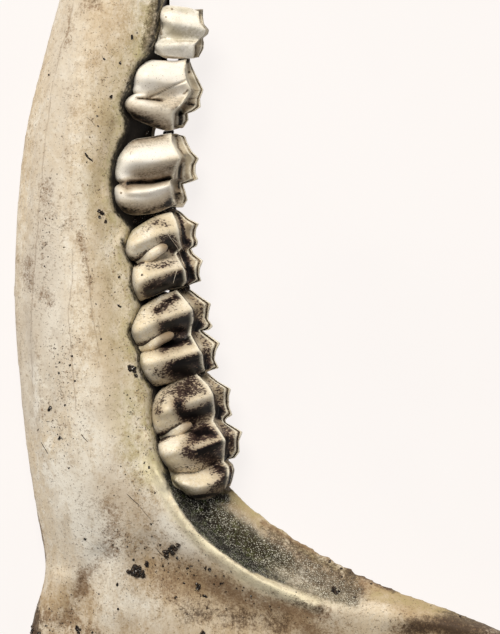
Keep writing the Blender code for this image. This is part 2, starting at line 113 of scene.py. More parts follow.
def smooth_curve(knots: Sequence[float], values: Array, at: Array) -> Array:
    """Values along a smooth curve.

    Args:
        knots: rising places of the known values.
        values: the values there, one row each.
        at: the places to read.

    Returns:
        One row of values for each place.
    """
    knots, values, at = (np.asarray(part, float) for part in (knots, values, at))
    steps = np.diff(knots)
    slopes = np.diff(values, axis=0) / steps.reshape((-1,) + (1,) * (values.ndim - 1))
    tangents = np.concatenate([slopes[:1], (slopes[:-1] + slopes[1:]) / 2, slopes[-1:]])
    index = np.clip(np.searchsorted(knots, at, side="right") - 1, 0, len(steps) - 1)
    share = ((at - knots[index]) / steps[index]).reshape((-1,) + (1,) * (values.ndim - 1))
    step = steps[index].reshape(share.shape)
    return (
        (2 * share**3 - 3 * share**2 + 1) * values[index]
        + (share**3 - 2 * share**2 + share) * step * tangents[index]
        + (3 * share**2 - 2 * share**3) * values[index + 1]
        + (share**3 - share**2) * step * tangents[index + 1]
    )


def along_line(points: Marks, count: int) -> Array:
    """Evenly spread points along a broken line.

    Args:
        points: the line's corners.
        count: how many points to return, both ends among them.

    Returns:
        The points, one a row.
    """
    line = np.asarray(points, float)
    lengths = np.concatenate([[0.0], np.cumsum(np.linalg.norm(np.diff(line, axis=0), axis=1))])
    at = np.linspace(0.0, lengths[-1], count)
    return np.stack([np.interp(at, lengths, line[:, axis]) for axis in range(2)], -1)


def ease(low: Values, high: Values, values: Values) -> Values:
    """A smooth rise from 0 at low to 1 at high."""
    share = np.clip((values - low) / (high - low), 0.0, 1.0)
    return share * share * (3 - 2 * share)


def swell(values: Array, start: float, full: float, fading: Values, end: Values) -> Array:
    """A smooth rise from 0 at start to 1 at full, which then falls from fading to 0 at end."""
    return ease(start, full, values) * (1 - ease(fading, end, values))


def band(values: Array, centre: float, width: float) -> Array:
    """A soft band round a centre, where it is 1."""
    return np.exp(-((values - centre) / width) ** 2)


def within(values: Array, limits: Pair) -> Array:
    """Whether each value lies between two limits."""
    return (values > limits[0]) & (values < limits[1])


def across_run(line: Array) -> Array:
    """The unit directions square to a line's run, one for each of its points.

    Args:
        line: the points, one a row.

    Returns:
        One direction a row.
    """
    run = np.gradient(line, axis=0)
    run /= np.linalg.norm(run, axis=1)[:, None]
    return np.stack([-run[:, 1], run[:, 0]], -1)


@dataclass(frozen=True)
class Stroke:
    """A soft stroke on the upper side, for paint or for pressing a shape in or out.

    A stroke of paint has a strength up to 1, and one that shapes has its height in millimetres.
    """

    line: Marks
    reach: float
    power: float


def strokes(*rows: tuple) -> tuple[Stroke, ...]:
    """Strokes from rows, each a reach and a power, then the marks of the stroke's line."""
    return tuple(Stroke(tuple(line), reach, power) for reach, power, *line in rows)


def touched(marks: Array, stroke: Stroke) -> tuple[Array, Array]:
    """How much a stroke touches each place.

    Args:
        marks: the places, one a row.
        stroke: the stroke.

    Returns:
        The indices of the places touched, and 0 to 1 for each of them.
    """
    line = np.asarray(stroke.line, float)
    low, high = line.min(0) - stroke.reach, line.max(0) + stroke.reach
    near = np.nonzero(np.all((marks > low) & (marks < high), axis=1))[0]
    if not len(near):
        return near, np.zeros(0)
    places = marks[near]
    closest = np.full(len(near), np.inf)
    ends = line[1:] if len(line) > 1 else line
    for start, end in zip(line, ends):
        run = end - start
        share = np.clip((places - start) @ run / max(run @ run, 1e-9), 0.0, 1.0)
        closest = np.minimum(closest, np.linalg.norm(places - start - share[:, None] * run, axis=1))
    fall = np.clip(1 - (closest / stroke.reach) ** 2, 0.0, 1.0) ** 2
    return near, fall


def painted(marks: Array, paint: Iterable[Stroke]) -> Array:
    """The paint that strokes leave at each place, from 0 to 1.

    Args:
        marks: the places, one a row.
        paint: the strokes.

    Returns:
        One number for each place.
    """
    bare = np.ones(len(marks))
    for stroke in paint:
        near, fall = touched(marks, stroke)
        bare[near] *= 1 - np.clip(stroke.power, 0.0, 1.0) * fall
    return 1 - bare


def pressed(marks: Array, shapes: Iterable[Stroke]) -> Array:
    """The height that shaping strokes add at each place.

    Args:
        marks: the places, one a row.
        shapes: the strokes.

    Returns:
        Millimetres for each place.
    """
    height = np.zeros(len(marks))
    for stroke in shapes:
        near, fall = touched(marks, stroke)
        height[near] += stroke.power * fall
    return height


def only(*objects: Piece) -> None:
    """Selects these objects and no others, and makes the first one active.

    Args:
        *objects: the objects.
    """
    bpy.ops.object.select_all(action="DESELECT")
    for obj in objects:
        obj.select_set(True)
    bpy.context.view_layer.objects.active = objects[0]


def points_of(obj: Piece) -> Array:
    """The vertices of an object's mesh, in millimetres.

    Args:
        obj: the object.

    Returns:
        One point a row.
    """
    flat = np.empty(len(obj.data.vertices) * 3, np.float32)
    obj.data.vertices.foreach_get("co", flat)
    return flat.reshape(-1, 3).astype(float) / MM


def move_points(obj: Piece, points: Array) -> None:
    """Puts the vertices of an object's mesh at these places, in millimetres."""
    obj.data.vertices.foreach_set("co", (points * MM).astype(np.float32).ravel())
    obj.data.update()


def facing_up(obj: Piece) -> Array:
    """How far up each vertex's normal points, from -1 to 1.

    Args:
        obj: the object.

    Returns:
        One number for each vertex.
    """
    flat = np.empty(len(obj.data.vertices) * 3, np.float32)
    obj.data.vertex_normals.foreach_get("vector", flat)
    return flat.reshape(-1, 3)[:, 2].astype(float)


def keep_layer(obj: Piece, name: str, values: Array) -> None:
    """Keeps one number for each vertex, in their order, for a material to read."""
    layer = obj.data.attributes.get(name) or obj.data.attributes.new(name, "FLOAT", "POINT")
    layer.data.foreach_set("value", np.asarray(values, np.float32))


def keep_layers(obj: Piece, **layers: Array) -> None:
    """Keeps several layers of numbers, each under its own name."""
    for name, values in layers.items():
        keep_layer(obj, name, values)


def layer_of(obj: Piece, name: str) -> Array:
    """The numbers kept for each vertex under that name.

    Args:
        obj: the piece.
        name: the layer's name.

    Returns:
        One number for each vertex.
    """
    values = np.empty(len(obj.data.vertices), np.float32)
    obj.data.attributes[name].data.foreach_get("value", values)
    return values.astype(float)


def tube(line: Array, heights: Array, wide: Array, tall: Array, sides: int) -> Array:
    """The rings of a tube that follows a line over the upper side.

    Args:
        line: the marks of its middle, one a ring.
        heights: how high each ring's middle lies, in millimetres.
        wide: each ring's radius in marks, by ring and, where it varies, by place on the ring.
        tall: its radius upwards, in millimetres, in the same way.
        sides: the points on a ring.

    Returns:
        The points in millimetres, by ring and by place on the ring.
    """
    turns = np.linspace(0, 2 * math.pi, sides, endpoint=False)
    marks = line[:, None] + (np.cos(turns) * wide)[..., None] * across_run(line)[:, None]
    return under_marks(marks, heights[:, None] + np.sin(turns) * tall)


def lofted(name: str, rings: Array, **layers: Array) -> Piece:
    """A closed skin drawn through rings, made from a grid that is rolled up and capped.

    Args:
        name: the new object's name.
        rings: points in millimetres, by ring and by place on the ring.
        **layers: numbers to keep for each of those points.

    Returns:
        The new object, shaded smooth.
    """
    count, sides = rings.shape[:2]
    bpy.ops.object.select_all(action="DESELECT")
    bpy.ops.mesh.primitive_grid_add(x_subdivisions=sides, y_subdivisions=count - 1, size=1.0)
    skin = bpy.context.active_object
    skin.name = name
    flat = points_of(skin) * MM
    column = np.rint((flat[:, 0] + 0.5) * sides).astype(int) % sides
    row = np.rint((flat[:, 1] + 0.5) * (count - 1)).astype(int)
    move_points(skin, rings[row, column])
    keep_layers(skin, **{layer: values[row, column] for layer, values in layers.items()})
    bpy.ops.object.mode_set(mode="EDIT")
    bpy.ops.mesh.select_all(action="SELECT")
    bpy.ops.mesh.remove_doubles(threshold=0.002 * MM)
    bpy.ops.mesh.select_all(action="DESELECT")
    bpy.ops.mesh.select_mode(type="VERT")
    bpy.ops.mesh.select_non_manifold(extend=False)
    bpy.ops.mesh.fill_holes(sides=0)
    bpy.ops.mesh.select_mode(type="FACE")
    bpy.ops.mesh.select_all(action="DESELECT")
    bpy.ops.mesh.select_face_by_sides(number=4, type="GREATER")
    bpy.ops.mesh.poke()
    bpy.ops.mesh.select_all(action="SELECT")
    bpy.ops.mesh.normals_make_consistent(inside=False)
    bpy.ops.object.mode_set(mode="OBJECT")
    bpy.ops.object.shade_smooth()
    return skin


def finish_with(obj: Piece, kind: str, **settings: Any) -> None:
    """Adds a modifier to an object and applies it.

    Args:
        obj: the piece.
        kind: the modifier's type.
        **settings: its properties.
    """
    only(obj)
    modifier = obj.modifiers.new(kind.title(), kind)
    for key, value in settings.items():
        setattr(modifier, key, value)
    bpy.ops.object.modifier_apply(modifier=modifier.name)


def joined(name: str, parts: Sequence[Piece]) -> Piece:
    """The parts as one object of that name.

    Args:
        name: the whole's name.
        parts: its parts, which it takes up.

    Returns:
        The whole.
    """
    only(*parts)
    if len(parts) > 1:
        bpy.ops.object.join()
    whole = bpy.context.view_layer.objects.active
    whole.name = name
    return whole


def settle(obj: Piece) -> None:
    """Applies an object's place, turn and scale to its mesh."""
    only(obj)
    bpy.ops.object.transform_apply(location=True, rotation=True, scale=True)


class Slot(Enum):
    """The two material slots."""

    BONE = "bone"
    ENAMEL = "enamel"


def dress(obj: Piece, material: Material, slot: Slot, nodes: Sequence[str] = ()) -> None:
    """Gives a finished piece its material and its place in the part.

    Args:
        obj: the piece.
        material: its only material.
        slot: not used.
        nodes: the CAD nodes that the piece stands for.
    """
    obj.data.materials.clear()
    obj.data.materials.append(material)
    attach(obj, "root")
    if nodes:
        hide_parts(*nodes)
    LOG.info("%s: %d faces", obj.name, len(obj.data.polygons))


class Ground:
    """The upper surface of finished pieces, for setting small things down on it."""

    first_guess = 14.0
    sky = 80.0

    def __init__(self, *pieces: Piece) -> None:
        """Prepares the pieces' surfaces for rays."""
        graph = bpy.context.evaluated_depsgraph_get()
        self.trees = [BVHTree.FromObject(piece, graph) for piece in pieces]

    def under(self, mark: Pair) -> Union[Array, None]:
        """The highest point of the pieces that is seen at a mark, or None beside them.

        Args:
            mark: across and down.

        Returns:
            The point in millimetres, or None.
        """
        height, found = self.first_guess, None
        for _ in range(3):
            place = under_marks(np.array([mark], float), np.array([height]))[0]
            start = Vector((place[0] * MM, place[1] * MM, self.sky * MM))
            hits = [tree.ray_cast(start, Vector((0, 0, -1))) for tree in self.trees]
            heights = [hit[0].z / MM for hit in hits if hit[0] is not None]
            if not heights:
                return found
            height = max(heights)
            found = np.array([place[0], place[1], height])
        return found


Number = Union[float, "Wire"]


def ink(red: int, green: int, blue: int) -> tuple[float, float, float, float]:
    """A colour as the eye reads it, 0 to 255, in the numbers that a shader takes.

    Args:
        red: how red it is.
        green: how green it is.
        blue: how blue it is.

    Returns:
        The colour's four numbers, with 1 for its cover.
    """
    shares = (np.array((red, green, blue)) / 255.0).tolist()
    linear = [c / 12.92 if c <= 0.04045 else ((c + 0.055) / 1.055) ** 2.4 for c in shares]
    return (linear[0], linear[1], linear[2], 1.0)


class Wire:
    """A node's output that takes part in Python arithmetic."""

    def __init__(self, sheet: "Sheet", socket: bpy.types.NodeSocket) -> None:
        """Holds the sheet that the socket is on, and the socket."""
        self.sheet = sheet
        self.socket = socket

    def maths(self, operation: str, *values: Number) -> "Wire":
        """A Math node on these values."""
        return self.sheet.node("ShaderNodeMath", {"operation": operation}, list(values))

    def __add__(self, other: Number) -> "Wire":
        """This plus the other."""
        return self.maths("ADD", self, other)

    def __sub__(self, other: Number) -> "Wire":
        """This less the other."""
        return self.maths("SUBTRACT", self, other)

    def __mul__(self, other: Number) -> "Wire":
        """This times the other."""
        return self.maths("MULTIPLY", self, other)

    def __rsub__(self, other: Number) -> "Wire":
        """The other less this."""
        return self.maths("SUBTRACT", other, self)

    def __abs__(self) -> "Wire":
        """This without its sign."""
        return self.maths("ABSOLUTE", self)

    __radd__ = __add__
    __rmul__ = __mul__


class Sheet:
    """The node tree of one material, with the places that its patterns are read from."""

    def __init__(self, name: str) -> None:
        """Starts an empty material of that name, with its shader and output.

        Args:
            name: the material's name.
        """
        self.material = bpy.data.materials.new(name)
        self.material.use_nodes = True
        self.tree = self.material.node_tree
        self.tree.nodes.clear()
        self.shader = self.tree.nodes.new("ShaderNodeBsdfPrincipled")
        output = self.tree.nodes.new("ShaderNodeOutputMaterial")
        self.tree.links.new(self.shader.outputs[0], output.inputs[0])

    def node(self, kind: str, settings: dict[str, Any], sockets: Any = (),
             output: Union[int, str] = 0) -> Wire:
        """Any node, ready to use.

        Args:
            kind: its type.
            settings: its properties, set first.
            sockets: values or wires, as a list in the sockets' order or by name or index.
            output: which output to return.

        Returns:
            That output.
        """
        node = self.tree.nodes.new(kind)
        for key, value in settings.items():
            setattr(node, key, value)
        pairs = sockets.items() if isinstance(sockets, dict) else enumerate(sockets)
        for key, value in pairs:
            self.feed(node.inputs[key], value)
        return Wire(self, node.outputs[output])

    def feed(self, socket: bpy.types.NodeSocket, value: Any) -> None:
        """Links a wire to a socket, or sets its value.

        Args:
            socket: the socket.
            value: a wire, or the socket's own kind of value.
        """
        if isinstance(value, Wire):
            self.tree.links.new(value.socket, socket)
        else:
            socket.default_value = value

    def coated(self, colour: Any, *coats: tuple[Any, Number]) -> Wire:
        """A colour under one coat or more.

        Args:
            colour: the colour below.
            *coats: the coats from the lowest up, each a colour and how much of it shows.

        Returns:
            The mixed colour.
        """
        settings = {"data_type": "RGBA", "blend_type": "MIX", "clamp_factor": True}
        for over, share in coats:
            colour = self.node("ShaderNodeMix", settings, {0: share, 6: colour, 7: over}, 2)
        return colour

    def layer(self, name: str) -> Wire:
        """A number kept for each vertex."""
        return self.node("ShaderNodeAttribute", {"attribute_name": name}, (), "Fac")

    def place(self, stretch: Triple = (1.0, 1.0, 1.0), turn: float = 0.0) -> Wire:
        """Object coordinates in millimetres.

        Args:
            stretch: how closely the pattern lies along each axis.
            turn: its turn in plan, in degrees.

        Returns:
            The vector.
        """
        spot = self.node("ShaderNodeTexCoord", {}, (), "Object")
        scale = tuple(part / MM for part in stretch)
        sockets = {"Vector": spot, "Scale": scale, "Rotation": (0.0, 0.0, math.radians(turn))}
        return self.node("ShaderNodeMapping", {"vector_type": "POINT"}, sockets)

    def noise(self, size: float, detail: float = 4.0, rough: float = 0.55,
              stretch: Triple = (1.0, 1.0, 1.0), turn: float = 0.0, warp: float = 0.0) -> Wire:
        """Cloudy noise.

        Args:
            size: the size of its clouds, in millimetres.
            detail: how many finer layers it has.
            rough: how strong those are.
            stretch: how closely it lies along each axis.
            turn: its turn in plan, in degrees.
            warp: how much it is distorted.

        Returns:
            A number round a half.
        """
        sockets = {"Vector": self.place(stretch, turn), "Scale": 1.0 / size, "Detail": detail,
                   "Roughness": rough, "Distortion": warp}
        return self.node("ShaderNodeTexNoise", {}, sockets)

    def cells(self, size: float) -> Wire:
        """The distance to the middles of scattered cells of that size."""
        sockets = {"Vector": self.place(), "Scale": 1.0 / size}
        return self.node("ShaderNodeTexVoronoi", {}, sockets, "Distance")

    def rise(self, value: Number, low: Number, high: Number) -> Wire:
        """0 below low and 1 above high, with a soft step between.

        Args:
            value: what is read.
            low: where the step starts.
            high: where it ends, which may be lower.

        Returns:
            The step.
        """
        settings = {"interpolation_type": "SMOOTHSTEP", "clamp": True}
        return self.node("ShaderNodeMapRange", settings,
                         {"Value": value, "From Min": low, "From Max": high})

    def ragged(self, mask: Number, noise: Wire, rag: float, edge: float = 0.12) -> Wire:
        """A painted mask that the noise breaks as far as rag, with an outline as soft as edge."""
        return self.rise(mask + (noise - 0.5) * rag, 0.5 - edge, 0.5 + edge)

    def surface(self, colour: Any, roughness: Number, height: Wire, depth: float,
                **constants: float) -> Material:
        """Joins the finished layers to the shader.

        Args:
            colour: the base colour.
            roughness: the roughness.
            height: the height that the light picks out, in millimetres.
            depth: how strongly it does.
            **constants: other sockets of the shader, with spaces as underscores.

        Returns:
            The material.
        """
        bump = self.node("ShaderNodeBump", {}, {"Strength": depth, "Distance": MM,
                                                "Height": height})
        self.feed(self.shader.inputs["Base Color"], colour)
        self.feed(self.shader.inputs["Roughness"], roughness)
        self.feed(self.shader.inputs["Normal"], bump)
        for key, value in constants.items():
            self.shader.inputs[key.replace("_", " ")].default_value = value
        return self.material


@dataclass(frozen=True)
class Cut:
    """A cut across the bone, from a plan point on its toothed edge to one on its lower edge.

    The toothed edge's outer crest lies `drop` lower than the inner one, and `trough` is the
    hollow between the two.
    """

    inner: Pair
    outer: Pair
    drop: float
    trough: float


@dataclass(frozen=True)
class Girth:
    """Heights and thicknesses at a cut: of the toothed edge, the middle and the lower rim."""

    cut: int
    crest_z: float
    crest: float
    middle_z: float
    middle: float
    rim_z: float
    rim: float


@dataclass(frozen=True)
class NeckOval:
    """An oval across the neck that carries the jaw joint's roll."""

    centre: Pair
    z: float
    width: float
    thickness: float


@dataclass(frozen=True)
class Foramen:
    """A nerve's opening into the bone, as a hollow shaped like a stretched ball."""

    centre: Triple
    radii: Triple
    turn: float

    def radii_away(self, points: Array) -> Array:
        """How far points stand from the centre, where 1 is the hollow's own wall.

        Args:
            points: places in millimetres, three to a row.

        Returns:
            One number for each point.
        """
        across, along, up = (points - self.centre + (*PLAN_CENTRE, 0.0)).T
        turn = math.radians(self.turn)
        turned = (across * math.cos(turn) + along * math.sin(turn),
                  along * math.cos(turn) - across * math.sin(turn), up)
        return np.linalg.norm(np.column_stack(turned) / self.radii, axis=1)


FORAMINA = (
    Foramen((-18.6, 66.0, 11.6), (1.5, 3.2, 2.4), -12.0),
    Foramen((-14.0, 84.0, 10.4), (0.8, 1.5, 1.4), -18.0),
    Foramen((4.0, -60.5, 4.0), (3.2, 2.0, 2.0), 30.0),
)
BONE_CUTS = (
    Cut((-1.6, 107.4), (-8.6, 109.6), 0.6, 0.0), Cut((-4.4, 100.0), (-12.8, 103.2), 0.8, 0.0),
    Cut((-8.2, 91.0), (-18.2, 93.4), 0.8, 0.0), Cut((-11.4, 80.0), (-22.8, 81.5), 0.6, 0.0),
    Cut((-13.2, 69.5), (-26.2, 70.0), 0.6, 0.0), Cut((-13.4, 59.5), (-28.9, 59.5), 0.8, 0.0),
    Cut((-12.8, 51.8), (-30.7, 51.3), 1.7, 0.0), Cut((-13.2, 41.5), (-33.3, 41.5), 3.3, 0.0),
    Cut((-15.2, 29.5), (-36.1, 29.8), 4.9, 0.0), Cut((-16.2, 16.8), (-37.5, 17.0), 5.3, 0.0),
    Cut((-15.0, 2.7), (-38.0, 2.2), 4.4, 0.0), Cut((-12.3, -11.5), (-37.0, -12.3), 4.6, 0.1),
    Cut((-8.6, -20.0), (-36.0, -22.0), 6.8, 0.8), Cut((-4.2, -26.6), (-34.6, -31.5), 8.3, 2.0),
    Cut((1.0, -31.5), (-33.3, -41.0), 9.5, 2.8), Cut((6.0, -35.0), (-35.4, -49.5), 9.6, 2.8),
    Cut((10.4, -37.6), (-37.0, -59.5), 9.4, 2.4), Cut((14.2, -39.5), (-34.5, -70.5), 8.4, 1.8),
    Cut((17.6, -41.3), (-26.0, -78.5), 6.6, 1.1), Cut((21.2, -42.9), (-13.0, -81.4), 4.6, 0.5),
    Cut((25.5, -44.6), (1.0, -80.0), 3.2, 0.2), Cut((31.0, -46.5), (14.0, -79.6), 2.2, 0.0),
    Cut((37.0, -48.8), (26.0, -78.5), 1.4, 0.0), Cut((43.0, -51.4), (36.5, -71.5), 0.8, 0.0),
    Cut((50.0, -54.8), (46.5, -69.4), 0.6, 0.0), Cut((58.0, -59.6), (55.8, -69.8), 0.4, 0.0),
    Cut((65.4, -65.6), (63.2, -72.4), 0.3, 0.0), Cut((71.0, -72.4), (69.0, -76.8), 0.2, 0.0),
    Cut((73.6, -77.6), (72.4, -79.4), 0.1, 0.0),
)
BONE_GIRTHS = (
    Girth(0, 7.8, 14.0, 7.8, 15.6, 7.8, 13.6), Girth(1, 6.6, 11.4, 6.4, 13.4, 6.2, 10.6),
    Girth(2, 5.0, 7.6, 4.8, 10.4, 4.8, 8.2), Girth(3, 5.6, 4.6, 5.4, 9.0, 5.4, 6.0),
    Girth(4, 6.8, 3.8, 6.7, 8.4, 6.6, 5.6), Girth(5, 8.2, 4.6, 8.0, 9.0, 7.8, 5.8),
    Girth(7, 9.4, 7.4, 9.4, 11.2, 9.0, 6.4), Girth(9, 9.3, 9.4, 9.3, 13.0, 8.8, 6.8),
    Girth(11, 9.2, 10.6, 9.2, 13.6, 7.8, 7.0), Girth(13, 9.1, 10.8, 8.4, 11.4, 5.8, 6.0),
    Girth(14, 9.3, 9.8, 7.4, 8.2, 4.2, 5.2), Girth(16, 10.0, 8.0, 6.6, 5.0, 2.5, 5.2),
    Girth(18, 10.7, 6.6, 6.8, 4.2, 2.7, 5.8), Girth(20, 11.4, 5.4, 8.4, 4.2, 5.2, 6.6),
    Girth(22, 12.4, 4.6, 10.8, 4.2, 9.6, 5.4), Girth(23, 13.0, 4.2, 12.2, 3.9, 11.6, 3.2),
    Girth(25, 14.8, 3.4, 14.6, 3.4, 14.4, 2.6), Girth(27, 16.8, 2.4, 16.8, 2.4, 16.8, 1.8),
    Girth(28, 17.4, 1.3, 17.4, 1.4, 17.4, 1.2),
)
NECK_OVALS = (
    NeckOval((15.0, -69.6), 8.9, 20.0, 2.6), NeckOval((22.0, -72.6), 9.6, 19.0, 4.2),
    NeckOval((29.5, -76.4), 10.2, 15.0, 5.6), NeckOval((36.5, -80.2), 10.5, 11.6, 7.4),
    NeckOval((42.0, -83.2), 10.5, 9.8, 10.4), NeckOval((45.0, -84.8), 10.5, 8.4, 13.4),
)
# The bone's edge along the foot of the cheek teeth, from the first tooth to behind the last.
TOOTHED_EDGE = (
    (168, -40), (166, -12), (161, 2), (157.5, 14), (156.5, 28), (152, 40), (148.5, 50), (139, 60),
    (133.5, 68), (130, 76), (127, 88), (121.5, 96), (119.5, 104), (121, 114), (125, 122),
    (124, 130), (117, 143), (112, 156), (109.5, 170), (108, 184), (109.5, 202), (113, 214),
    (121, 222), (127, 229), (126, 238), (121, 247), (125, 259), (130.5, 268), (129.5, 282),
    (132.5, 296), (137, 306), (132.5, 318), (126.5, 332), (131, 344), (136, 354), (137, 366),
    (142, 380), (149, 391), (149, 404), (149.5, 424), (152.5, 434), (154, 450), (158, 461),
    (163, 472), (166, 484),
)
# The sharp oblique ridge that runs on from it down the branch, and the inner ridge beyond it.
OBLIQUE_RIDGE = (
    (153, 462), (163, 478), (174, 495), (184, 514), (197, 529), (213, 543), (231, 557),
    (247, 569), (264, 579), (287, 588), (307, 596), (326, 603), (342, 610),
)
CRACKS = {
    "crack_front": ((74, 0), (69, 20), (68, 34), (61, 46), (57, 66), (52, 86), (50, 101),
                    (46, 133), (44, 153), (38, 220), (36, 251), (33, 281), (31, 327), (31, 358),
                    (33, 395)),
    "crack_middle": ((73, 243), (72, 281), (68, 312), (70, 335), (72, 365), (75, 396),
                     (77, 419)),
    "crack_back": ((83, 246), (89, 270), (91, 300), (92, 312), (98, 347), (103, 366)),
    "crack_twin": ((96, 312), (99, 326), (101, 342), (102.5, 352)),
}


def nearest_on(marks: Array, line: Marks) -> tuple[Array, Array]:
    """How far places lie from a broken line, and on which side.

    Args:
        marks: the places, one a row.
        line: the line's corners, read downwards.

    Returns:
        The signed distance, positive to the right of a line that runs down, and the share of
        the line's length at the nearest point.
    """
    points = np.asarray(line, float)
    lengths = np.concatenate([[0.0], np.cumsum(np.linalg.norm(np.diff(points, axis=0), axis=1))])
    closest = np.full(len(marks), np.inf)
    side, share_along = np.zeros(len(marks)), np.zeros(len(marks))
    for index, (start, end) in enumerate(zip(points, points[1:])):
        run = end - start
        away = marks - start
        share = np.clip(away @ run / (run @ run), 0.0, 1.0)
        distance = np.linalg.norm(away - share[:, None] * run, axis=1)
        nearer = distance < closest
        turned = away[:, 0] * run[1] - away[:, 1] * run[0]
        closest = np.where(nearer, distance, closest)
        side = np.where(nearer, np.sign(turned), side)
        place = (lengths[index] + share * np.linalg.norm(run)) / lengths[-1]
        share_along = np.where(nearer, place, share_along)
    return closest * side, share_along


@dataclass(frozen=True)
class BoneFinish:
    """Dry, weathered bone: cream and tan, streaked along its length, specked with soil, with
    painted shade and a painted highlight.
    """

    cream: tuple = ink(230, 220, 203)
    tan: tuple = ink(214, 197, 170)
    ash: tuple = ink(200, 190, 176)
    pale: tuple = ink(236, 230, 218)
    ridge_highlight: tuple = ink(248, 238, 206)
    umber: tuple = ink(166, 140, 104)
    brown: tuple = ink(128, 102, 76)
    soil: tuple = ink(62, 47, 36)
    olive: tuple = ink(176, 166, 118)
    moss: tuple = ink(68, 76, 36)
    dust: tuple = ink(214, 211, 196)
    grey: tuple = ink(86, 77, 56)
    black: tuple = ink(22, 17, 13)

    def material(self) -> Material:
        """The finish as a material that reads the bone's painted layers.

        Returns:
            The material.
        """
        sheet = Sheet("weathered_bone")
        noise, layer, rise = sheet.noise, sheet.layer, sheet.rise
        ragged, coated = sheet.ragged, sheet.coated
        clouds = noise(26, 3, 0.5, (1, 0.5, 1))
        patches = noise(9, 5, 0.6, (1, 0.6, 1), warp=0.4)
        streaks = noise(1.6, 4, 0.6, (1, 0.09, 1), -4)
        grain = noise(0.55, 3, 0.6)
        fine = noise(0.3, 2, 0.7)
        mottle = noise(2.8, 6, 0.7, (1, 0.7, 1), warp=0.3)
        dusting = noise(0.8, 8, 0.8)
        grit = noise(0.36, 8, 0.85)
        weave = noise(0.4, 3, 0.6, (1, 0.2, 1), -4)
        blots = noise(1.5, 4, 0.6, (1, 0.8, 1), warp=0.5)
        calm = 1 - layer("calm") * 0.5
        ash = layer("ash") * (0.6 + rise(patches, 0.35, 0.6) * 0.4)
        white = layer("white") * rise(patches + blots, 0.85, 1.1)
        warm = layer("warm") * rise(streaks + patches, 0.6, 1.2)
        umber = layer("umber") * (0.5 + rise(patches + mottle, 0.75, 1.15) * 0.5)
        olive = layer("olive") * (0.15 + rise(mottle + dusting, 0.80, 1.15) * 0.75)
        # A painted highlight along the oblique ridge.
        crest = layer("crest") * (0.55 + rise(blots, 0.6, 0.4) * 0.4)
        uneven = (patches - 0.5) * 1.2 + (mottle - 0.5) * 1.3 + (dusting - 0.5) * 2.2
        uneven = uneven + (grit - 0.5) * 2.6
        blotch = rise(layer("brown") + uneven, 0.2, 1.1)
        # Soil smears, with painted shade beside the left edges of the first cheek teeth.
        soil_and_shade_smear = rise(layer("soiled_and_shaded") + uneven * 0.8, 0.3, 1.1)
        sown = layer("specks") * (0.04 + rise(blots, 0.5, 0.62) * 0.07)
        freckles = rise(sown + grain, 0.64, 0.69)
        moss = layer("moss")
        crust = noise(1.1, 6, 0.75)
        mossy = ragged(moss, crust, 0.9, 0.25)
        sand = noise(0.17, 1, 0.5) + (mottle - 0.5) * 0.4
        growth = coated(
            self.moss,
            (self.black, rise(crust + moss * 0.08, 0.44, 0.57)),
            (self.dust, rise(sand, 0.615, 0.645)),
        )
        dusty = ragged(layer("dust"), mottle, 1.2, 0.35)
        powder = coated(self.grey, (self.dust, rise(sand, 0.58, 0.62)))
        rim = layer("rim") * rise(mottle, 0.38, 0.55)
        # Painted shade, with some grime, in the sockets, along the teeth and in the foramina.
        grime = ragged(layer("grime"), dusting, 2.2, 0.35)
        crack = self.cracks(sheet)
        colour = coated(
            self.cream,
            (self.tan, rise(clouds, 0.38, 0.66)),
            (self.ash, rise(patches, 0.5, 0.72) * 0.6),
            (self.tan, rise(streaks, 0.5, 0.8) * 0.5),
            (self.pale, rise(blots, 0.49, 0.34) * 0.6),
            (self.umber, rise(blots, 0.51, 0.66) * calm * 0.55),
            (self.pale, rise(mottle, 0.50, 0.30) * 0.75),
            (self.umber, rise(mottle, 0.48, 0.68) * calm * 0.75),
            (self.umber, rise(dusting, 0.50, 0.62) * calm * 0.5),
            (self.pale, rise(grit, 0.48, 0.40) * calm * 0.5),
            (self.umber, rise(grit, 0.52, 0.60) * calm * 0.5),
            (self.ash, rise(weave, 0.50, 0.34) * 0.5),
            (self.umber, rise(weave, 0.52, 0.72) * calm * 0.35),
            (self.ash, ash),
            (self.pale, white),
            (self.tan, warm),
            (self.umber, umber),
            (self.olive, olive),
            (self.ridge_highlight, crest),
            (self.brown, blotch * 0.9),
            (self.soil, soil_and_shade_smear * 0.85),
            (self.brown, freckles * 0.5),
            (self.soil, rise(sown + fine, 0.665, 0.71) * 0.85),
            (growth, mossy),
            (powder, dusty * (0.4 + rise(sand, 0.5, 0.62) * 0.3)),
            (self.cream, rim * 0.15),
            (self.black, grime),
            (self.brown, crack * 0.32),
        )
        pores = rise(sheet.cells(1.3), 0.16, 0.05) * rise(patches, 0.45, 0.6)
        height = streaks * 0.25 + grain * 0.12 + crust * mossy * 0.8 - crack * 0.12 - pores * 0.15
        roughness = 0.55 + grain * 0.2 + mossy * 0.15
        return sheet.surface(colour, roughness, height, 0.5, Specular_IOR_Level=0.3)

    def cracks(self, sheet: Sheet) -> Wire:
        """The hairline cracks, from the distances kept for each vertex.

        Args:
            sheet: the sheet that they are drawn on.

        Returns:
            How much of a crack shows, from 0 to 1.
        """
        wander = (sheet.noise(3, 5, 0.65) - 0.5) * 0.7
        broken = sheet.noise(3.5, 4, 0.7, (1, 0.5, 1))
        total: Number = 0.0
        for name in CRACKS:
            line = abs(sheet.layer(name) + wander)
            present = sheet.layer(name + "_width")
            width = present * broken * 0.16
            share = 1 - sheet.rise(line, width * 0.5, width + 0.07)
            total = share * sheet.rise(present * 0.5 + broken * 0.6, 0.55, 0.9) + total
        return sheet.rise(total, 0.0, 1.0)


